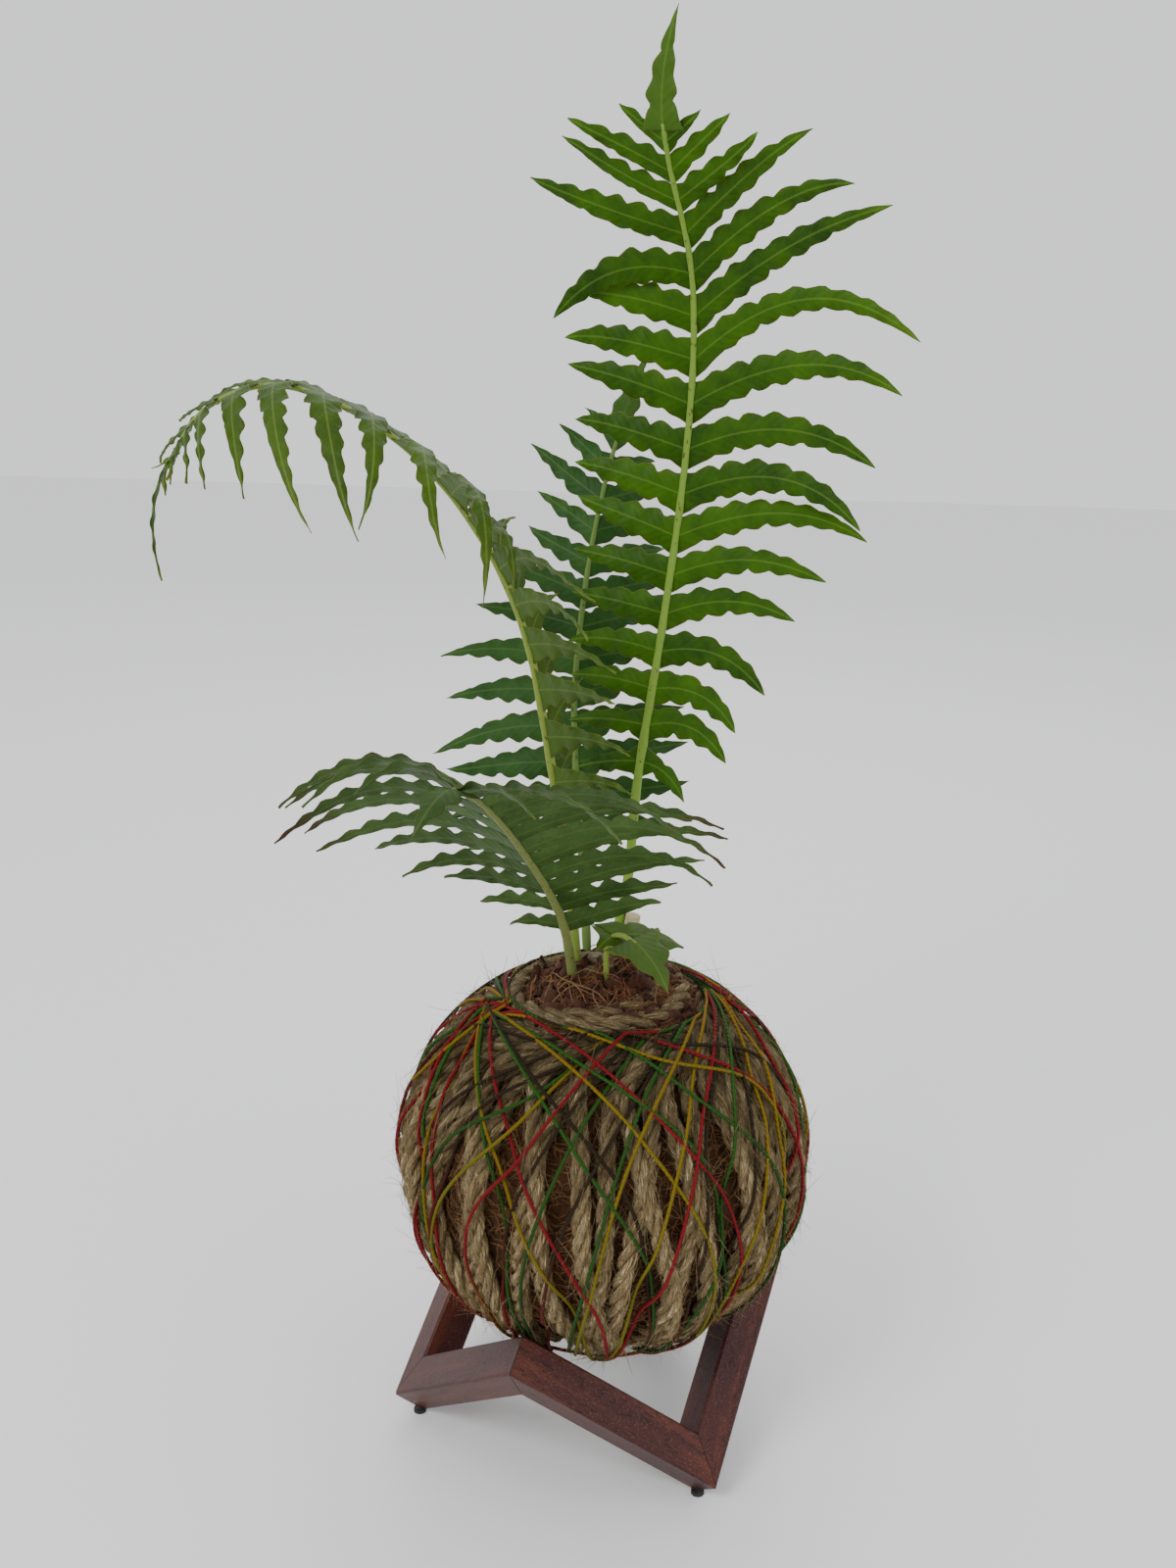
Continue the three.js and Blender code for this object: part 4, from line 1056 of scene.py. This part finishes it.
def leaflet_group(frond, rib, rib_length, turn):
    """All the leaflets on one side of a frond. Each face is tilted about its middle line, from nothing
    at the foot to the full tilt halfway."""
    pair = np.arange(frond["pairs"])
    feet = at_share(frond["feet"], np.arange(frond["pairs"] + 1) / frond["pairs"])[:, 0]
    gap = np.diff(feet)
    place = feet[:-1] + foot_share * gap
    blades = frond["right"] if turn > 0 else frond["left"]
    u = pair / max(1, frond["pairs"] - 1)
    number = 2 * pair + turn + 100.0 * frond["seed"]
    forward = unit(at_share(np.gradient(rib, axis=0), place))
    side = square_to(at_share(blades["reach"], place), forward)
    angle, direction = leaflet_directions(frond, blades, u, number, forward, side, turn)
    length = at_share(blades["length"], u)[:, 0] * (1 + 0.05 * vary(number, 1))
    radius = frond["rib_radius"][0] * (1 - place) + frond["rib_radius"][1] * place
    start = at_share(rib, place - 0.5 * foot_share * gap) + side * (0.4 * radius)[:, None]
    middle = run_out(start[:, None], direction, length[:, None, None])
    across = square_to(forward[:, None], direction)
    tilt = -turn * math.radians(frond["tilt"]) * np.minimum(1, 2 * np.linspace(0, 1, blade_steps))
    tilt = tilt[None, :, None]
    across = across * np.cos(tilt) + np.cross(direction, across) * np.sin(tilt)
    half = leaflet_widths(frond, gap * rib_length, angle, length)
    foot_half = 0.5 * gap * rib_length
    return blade_rings(
        middle, direction, across, half, foot_half, forward, turn, number, frond["edge"], length,
    )


# %% [markdown]
# The rib is one more tube. The frond ends in a leaflet that goes on where the rib stops.

# %% Rib and end leaflet
rib_steps, rib_sides, rib_mark = 160, 8, 5.0
tip_overlap = 2.5


def rib_group(frond, rib):
    """The rib: an eight-sided tube that thins towards its end, with faint bumps where leaflets leave."""
    share = np.linspace(0, 1, rib_steps)
    paths = at_share(rib, share)[None]
    radius = frond["rib_radius"][0] * (1 - share) + frond["rib_radius"][1] * share
    guide = np.broadcast_to(np.array([0.0, -1.0, 0.3]), paths.shape)
    rings = sweep(paths, guide, radius[None] * (1 + 0.05 * np.sin(90 * share))[None], rib_sides)
    place = tube_place(paths, rib_sides, np.array([rib_mark]))
    place[..., 1] = 0.0
    return rings, place


def terminal_group(frond, rib):
    """The leaflet that ends the frond: it starts along the rib and bends towards its own pull."""
    tip = frond["tip"]
    t = np.linspace(0, 1, blade_steps)
    start_direction = unit(rib[-1] - rib[-8])
    direction = unit(start_direction[None, :] + np.array(tip["pull"])[None, :] * t[:, None])[None]
    foot = rib[-1] - tip_overlap * start_direction
    middle = run_out(foot, direction, tip["length"] + tip_overlap)
    reach = [at_share(frond[key]["reach"], np.array([1.0])) for key in ("left", "right")]
    across = square_to(unit(unit(reach[1]) - unit(reach[0]))[:, None], direction)
    body = (1 - t) ** 0.9 * (1 + 0.3 * np.sin(np.pi * t) + 0.4 * np.exp(-12 * t))
    half = np.maximum(thinnest, 0.52 * frond["fullness"] * tip["width"] * body)[None]
    edge = {"lobes": frond["edge"]["lobes"], "ruffle": 0.6 * frond["edge"]["ruffle"]}
    number, length = np.array([[100.0 * frond["seed"]], [tip["length"]]])
    return blade_rings(
        middle, direction, across, half, half[:, 0], across[:, 0], 1, number, edge, length,
    )


# %% [markdown]
# ## Leaf colour
# The five fronds differ: the tall one is a fresh green, the arching and the young one olive, and the
# ones behind and below are darker and bluer. For the one behind, which stands in the others' shade,
# that darker, bluer colour is painted shade. The low one has burnt tips. One material function makes
# them all. It reads from each point how far along its leaflet it is, how far from the midrib in
# millimetres, and which leaflet it is.

# %% Leaf material
def leaf_look(name, deep, fresh, rib_colour, tip_colour, tip_from=62, tip_share=0.35):
    """Green blade with a paler midrib, an edge lightened as painted highlight, fine slanting side veins,
    mottling, and a duller underside. Beyond the distance tip_from along a leaflet it takes on a share of
    the tip colour."""
    look = Look(name, 0.5, subsurface=0.1, specular=0.12)
    along, across, shade = look.own_place()
    on_rib = look.fade(shade, 0.7 * rib_mark, 0.8 * rib_mark)
    below = look.math("SUBTRACT", look.fade(shade, 1.4, 1.6), on_rib)
    from_midrib = look.math("ABSOLUTE", across)
    # Painted highlight: the very edge of each leaflet is lightened, as if it caught the light.
    painted_edge_highlight = look.fade(from_midrib, 0.5 * edge_mark, 0.8 * edge_mark)
    vein_run = look.math("SUBTRACT", along, look.times(from_midrib, 1.1))
    veins = look.math("SINE", look.times(vein_run, 1.904))
    mottle = look.noise(look.object_place(), 95.0, 4.0, 0.65)
    own_tone = look.times(look.math("FRACT", shade), 0.16)
    tone = look.plus(look.times(mottle, 0.75), own_tone)
    blade = look.ramp(tone, [(0.25, deep), (0.75, fresh)])
    veined = look.mix(look.times(look.fade(veins, 0.7, 1.0), 0.1), blade, fresh)
    underside = look.mix(look.times(below, 0.35), veined, (0.09, 0.16, 0.03))
    midrib = look.math("SUBTRACT", 1.0, look.fade(from_midrib, 0.15, 0.45))
    ribbed = look.mix(look.times(midrib, 0.25), underside, rib_colour)
    # The edge highlight is painted in the rib colour.
    with_edge_highlight = look.mix(look.times(painted_edge_highlight, 0.45), ribbed, rib_colour)
    scales = look.fade(look.noise(look.object_place(scale=(1, 1, 0.6)), 520.0, 2.0), 0.62, 0.7)
    rib = look.mix(look.times(scales, 0.7), rib_colour, (0.05, 0.025, 0.012))
    body = look.mix(on_rib, with_edge_highlight, rib)
    far = look.fade(look.math("MULTIPLY_ADD", mottle, 14, along), tip_from, tip_from + 20)
    tip = look.times(far, look.math("SUBTRACT", tip_share, on_rib))
    colour = look.mix(look.math("MAXIMUM", tip, 0.0), body, tip_colour)
    height = look.plus(look.times(veins, -0.15), look.times(mottle, 0.5))
    gloss = look.math("MULTIPLY_ADD", mottle, 0.2, 0.4)
    return look.finish(colour, height, distance=0.0004, strength=0.6, roughness=gloss)


leaf_looks = {
    "fresh": leaf_look(
        "fresh_leaf", (0.012, 0.044, 0.001), (0.05, 0.14, 0.002), (0.17, 0.28, 0.04), (0.08, 0.16, 0.005)
    ),
    "olive": leaf_look(
        "olive_leaf", (0.017, 0.044, 0.002), (0.06, 0.118, 0.005), (0.21, 0.28, 0.05), (0.09, 0.12, 0.012)
    ),
    # Painted shade: a darker, bluer copy of the leaf colour for the frond that stands in the others' shade.
    "shaded": leaf_look(
        "shaded_leaf", (0.011, 0.045, 0.006), (0.038, 0.11, 0.018), (0.12, 0.19, 0.045), (0.09, 0.11, 0.02)
    ),
    "low": leaf_look(
        "low_leaf", (0.018, 0.044, 0.007), (0.06, 0.118, 0.026), (0.15, 0.175, 0.05), (0.045, 0.018, 0.008),
        tip_from=60, tip_share=0.9,
    ),
}
print("leaf colours:", ", ".join(leaf_looks))

# %% [markdown]
# ## The five fronds
# The numbers are those of the solid model: the rib's points in millimetres from the middle of the
# stand, then the leaflets of each side, from the lowest to the highest. Only the look and the second
# row of each frond are new, for the finer blades. Fullness widens them, and the edge has a depth for
# its lobes and a height for its ruffle. A small taper keeps a blade wide towards its tip, curl bends
# each tip its own way, and tilt turns each face about its midrib, in degrees.

# %% Put one frond together
def make_frond(name, frond):
    """Rib, end leaflet and both rows of leaflets, as one piece in the place of the solid frond."""
    rib, rib_length = smooth_curve(np.array(frond["rib"]) + stand_middle)
    groups = [rib_group(frond, rib), terminal_group(frond, rib)]
    groups += [leaflet_group(frond, rib, rib_length, turn) for turn in (-1, 1)]
    make_piece(f"{name}_leaf", groups, leaf_looks[frond["look"]], [name])


# %% [markdown]
# The tall frond stands upright and bows to the front near its tip. Its right leaflets are long and
# hang a little, and its left ones are shorter and nearly level.

# %% Make the tall frond
make_frond("frond_tall", {
    "seed": 1, "look": "fresh", "slot": "leaf_bright",
    "fullness": 0.95, "edge": {"lobes": 0.36, "ruffle": 0.8}, "taper": 0.75, "curl": 0.25, "tilt": 14,
    "rib": [
        [1, 3, 168], [8.3, 12, 206], [10.6, 17, 241], [17.5, 22, 297], [22.5, 20, 350],
        [23.4, 12, 390], [20.8, 2, 416], [12, -16, 445], [9.5, -24, 455],
    ],
    "rib_radius": [1.9, 0.8], "feet": [0.26, 0.407, 0.558, 0.729, 0.888, 1], "pairs": 17, "widest": 12,
    "left": {
        "reach": [[-0.95, 0.25, 0], [-0.95, 0.25, 0], [-0.9, 0.4, 0.1]],
        "length": [24, 29, 30, 31, 34, 34, 37, 38, 40, 46, 45, 42, 51, 52, 40, 35, 17],
        "angle": [97, 90, 82, 81, 83, 80, 77, 78, 79, 76, 78, 74, 76, 71, 63, 62, 54],
        "pull": [
            *[[0, 0.1, -0.4]] * 4, *[[0, 0.2, -0.2]] * 5, [0, 0.3, -0.2], *[[0, 0.3, -0.3]] * 2,
            [0, 0.1, -1.7], *[[0, 0, 0.2]] * 2, *[[0, 0, 0]] * 2,
        ],
    },
    "right": {
        "reach": [[1, 0, 0], [1, -0.1, 0]],
        "length": [23, 32, 34, 41, 46, 54, 66, 63, 69, 70, 84, 71, 59, 49, 34, 26, 14],
        "angle": [96, 67, 74, 70, 61, 62, 61, 62, 64, 56, 47, 51, 51, 54, 62, 52, 54],
        "pull": [
            [0, 0, -2.2], [0, 0, -1.7], [0, 0, -1.6], [0, 0, -1.5], *[[0, 0, -1.1]] * 2,
            [0, -0.1, -1.1], *[[0, -0.1, -1.3]] * 2, [0, -0.1, -1], [0, -0.1, -1.4],
            *[[0.1, 0, -0.5]] * 2, [0, 0.35, -0.1], [0, -0.35, 0], *[[0, 0, 0]] * 2,
        ],
    },
    "tip": {"length": 36, "width": 9, "pull": [0.5, -0.1, 0.3]},
})

# %% [markdown]
# The arching frond leans out to the left and comes down again. Its near leaflets hang from it.

# %% Make the arching frond
make_frond("frond_arching", {
    "seed": 2, "look": "olive", "slot": "leaf_olive",
    "fullness": 0.95, "edge": {"lobes": 0.34, "ruffle": 1.1}, "taper": 1.2, "curl": 0.9, "tilt": 14,
    "rib": [
        [-7, 0, 168], [-12.4, -2, 211], [-20.5, -6, 261], [-29, -8, 300], [-42, -8, 328],
        [-62, -8, 353], [-85, -8, 369], [-110, -8, 376], [-131, -8, 368], [-144, -8, 350],
    ],
    "rib_radius": [1.8, 0.7], "feet": [0.25, 0.44, 0.585, 0.786, 0.935, 1], "pairs": 17, "widest": 12.5,
    "left": {
        "reach": [[0.85, -0.5, 0], [0.8, -0.6, 0.2], [0.4, -0.8, 0.6], [0.2, -0.9, 0.3], [0.1, -1, 0]],
        "length": [34, 37, 40, 42, 46, 58, 54, 80, 70, 69, 75, 78, 47, 42, 26, 18, 14],
        "angle": [76, 80, 84, 86, 82, 78, 80, 82, 88, 92, 95, 94, 91, 92, 86, 78, 58],
        "pull": [
            [0.1, 0, -0.3], [0.1, 0, -0.4], [0.2, 0, -0.5], [0.2, 0, -0.7], [0.2, 0, -1],
            [0.2, 0, -1.4], [0, 0, -2], [-0.2, 0, -2.2], [-0.1, 0, -2.4], [0, 0, -2.4],
            [0.3, 0.1, -2.5], [0.5, 0.2, -2.6], [0.5, 0.2, -2.4], [0.4, 0.2, -2], [0.4, 0.2, -1.7],
            [0.3, 0.2, -1.5], [0.3, 0.2, -1.4],
        ],
    },
    "right": {
        "reach": [[0.5, 0.85, 0], [0.4, 0.9, 0], [0.1, 1, 0.2], [0, 1, 0.2]],
        "length": [28, 36, 43, 44, 38, 44, 10],
        "angle": [66, 60, 56, 50, 52],
        "pull": [[0, 0, -0.4], [0.2, 0, -0.8], [-0.2, 0, -1.3], [-0.4, 0, -0.3], [-0.3, 0, 0]],
    },
    "tip": {"length": 38, "width": 6, "pull": [0.9, 0, -0.5]},
})

# %% [markdown]
# The back frond stands behind the others, in their shade.

# %% Make the back frond
make_frond("frond_back", {
    "seed": 3, "look": "shaded", "slot": "leaf_shaded",
    "fullness": 1.0, "edge": {"lobes": 0.4, "ruffle": 0.8}, "taper": 0.9, "curl": 0.5, "tilt": 14,
    "rib": [
        [-4.5, 11, 168], [-7, 22, 203], [-10.8, 32, 236], [-12.4, 40, 270], [-9, 50, 311],
        [-4, 57, 340], [2, 62, 364],
    ],
    "rib_radius": [1.7, 0.7], "feet": [0.238, 0.444, 0.636, 0.82, 1], "pairs": 13, "widest": 14,
    "left": {
        "reach": [[-1, 0.1, 0], [-0.9, 0.3, 0]],
        "length": [46, 47, 51, 53, 53, 49, 44, 35, 27, 26, 32, 24, 17],
        "angle": [84, 85, 86, 84, 86, 84, 78, 74, 69, 65, 68, 66, 62],
        "pull": [
            *[[0, 0, -0.4]] * 3, [0, 0, -0.9], [0, 0, -0.5], [0, 0, -0.4], [0, 0, -0.3],
            [0, 0, -0.2], [0, 0.1, -0.1], [0, 0.1, 0], *[[0, 0, 0.2]] * 2, [0, 0, 0.1],
        ],
    },
    "right": {
        "reach": [[0.95, 0.25, 0], [0.9, 0.4, 0]],
        "length": [40, 44, 44, 38, 34, 28, 14],
        "angle": [84, 74, 66, 62],
        "pull": [[0, 0, -0.3], [0, 0.2, -0.2], [0, 0.5, 0]],
    },
    "tip": {"length": 26, "width": 8, "pull": [0.3, 0.2, 0.2]},
})

# %% [markdown]
# The low frond lies out to the front over the rim of the ball. Its leaflets lie over each other.

# %% Make the low frond
make_frond("frond_low", {
    "seed": 4, "look": "low", "slot": "leaf_shaded",
    "fullness": 1.15, "edge": {"lobes": 0.36, "ruffle": 0.9}, "taper": 0.85, "curl": 0.5, "tilt": 11,
    "rib": [
        [-8.5, -4, 168], [-13.4, -20, 202], [-18.3, -34, 219], [-24.4, -52, 236],
        [-31, -72, 253], [-38, -96, 269], [-43, -114, 277],
    ],
    "rib_radius": [1.8, 0.8], "feet": [0.21, 0.42, 0.62, 0.81, 1], "pairs": 12, "widest": 14,
    "left": {
        "reach": [[-1, -0.1, 0.35], [-0.9, -0.2, 0.9]],
        "length": [19, 27, 37, 46, 56, 66, 72, 74, 70, 64, 54, 34],
        "angle": [85, 84, 82, 78, 74, 70, 68, 66, 64, 62, 60, 58],
        "pull": [
            [0, 0, -0.3], [0, 0, -0.4], [-0.1, 0, -0.6], [-0.1, -0.1, -0.8], [-0.1, -0.1, -1],
            [-0.1, -0.1, -1.3], [-0.2, 0, -1.6], *[[-0.3, 0, -1.8]] * 5,
        ],
    },
    "right": {
        "reach": [[1, 0.1, 0.2], [1, -0.1, 0.3]],
        "length": [34, 50, 66, 70, 66, 52, 30],
        "angle": [80, 72, 66, 62, 60],
        "pull": [[0, 0, -0.3], [0.1, 0, -0.9], [0.2, -0.1, -1.1]],
    },
    "tip": {"length": 28, "width": 9, "pull": [-0.2, -0.3, -1.2]},
})

# %% [markdown]
# The young leaf in front of the crown has only three leaflets so far.

# %% Make the young leaf
make_frond("frond_young", {
    "seed": 5, "look": "olive", "slot": "leaf_bright",
    "fullness": 1.8, "edge": {"lobes": 0.4, "ruffle": 0.5}, "taper": 0.8, "curl": 0.2, "tilt": 14,
    "rib": [[2, -9, 170], [2, -14, 194], [6, -20, 199], [11, -25, 198]],
    "rib_radius": [1.1, 0.8], "feet": [0.5, 1], "pairs": 1, "widest": 12,
    "left": {
        "reach": [[0.75, 0.65, 0.1], [0.8, 0.6, 0.1]],
        "length": [29, 29],
        "angle": [66, 66],
        "pull": [[0.1, 0, -0.8], [0.1, 0, -0.8]],
    },
    "right": {
        "reach": [[-0.7, -0.7, 0], [-0.7, -0.7, 0]],
        "length": [9, 9], "angle": [80, 80], "pull": [[0, 0, -0.4], [0, 0, -0.4]],
    },
    "tip": {"length": 21, "width": 10, "pull": [-0.1, -0.2, -1]},
})

# %% [markdown]
# ## The crown
# The fronds leave a short scaly stem. Beside them stands the pale stump of a stalk that was cut off.

# %% Make the crown
def scaly_stem():
    """Brown-green stem with dark scales."""
    look = Look("scaly_stem", 0.8)
    scales = look.noise(look.object_place(scale=(1, 1, 0.5)), 380.0, 4.0, 0.7)
    stops = [(0.3, (0.03, 0.016, 0.008)), (0.5, (0.1, 0.07, 0.03)), (0.75, (0.26, 0.24, 0.12))]
    stem = look.ramp(scales, stops)
    height = look.height()
    stump = look.mix(look.times(scales, 0.5), (0.52, 0.46, 0.25), (0.16, 0.13, 0.05))
    colour = look.mix(look.fade(height, 0.186, 0.19), stem, stump)
    return look.finish(colour, scales, distance=0.0012, strength=0.9)


give("crown", scaly_stem())
print("solids that stay:", len(wood_names) + len(foot_names) + 2)
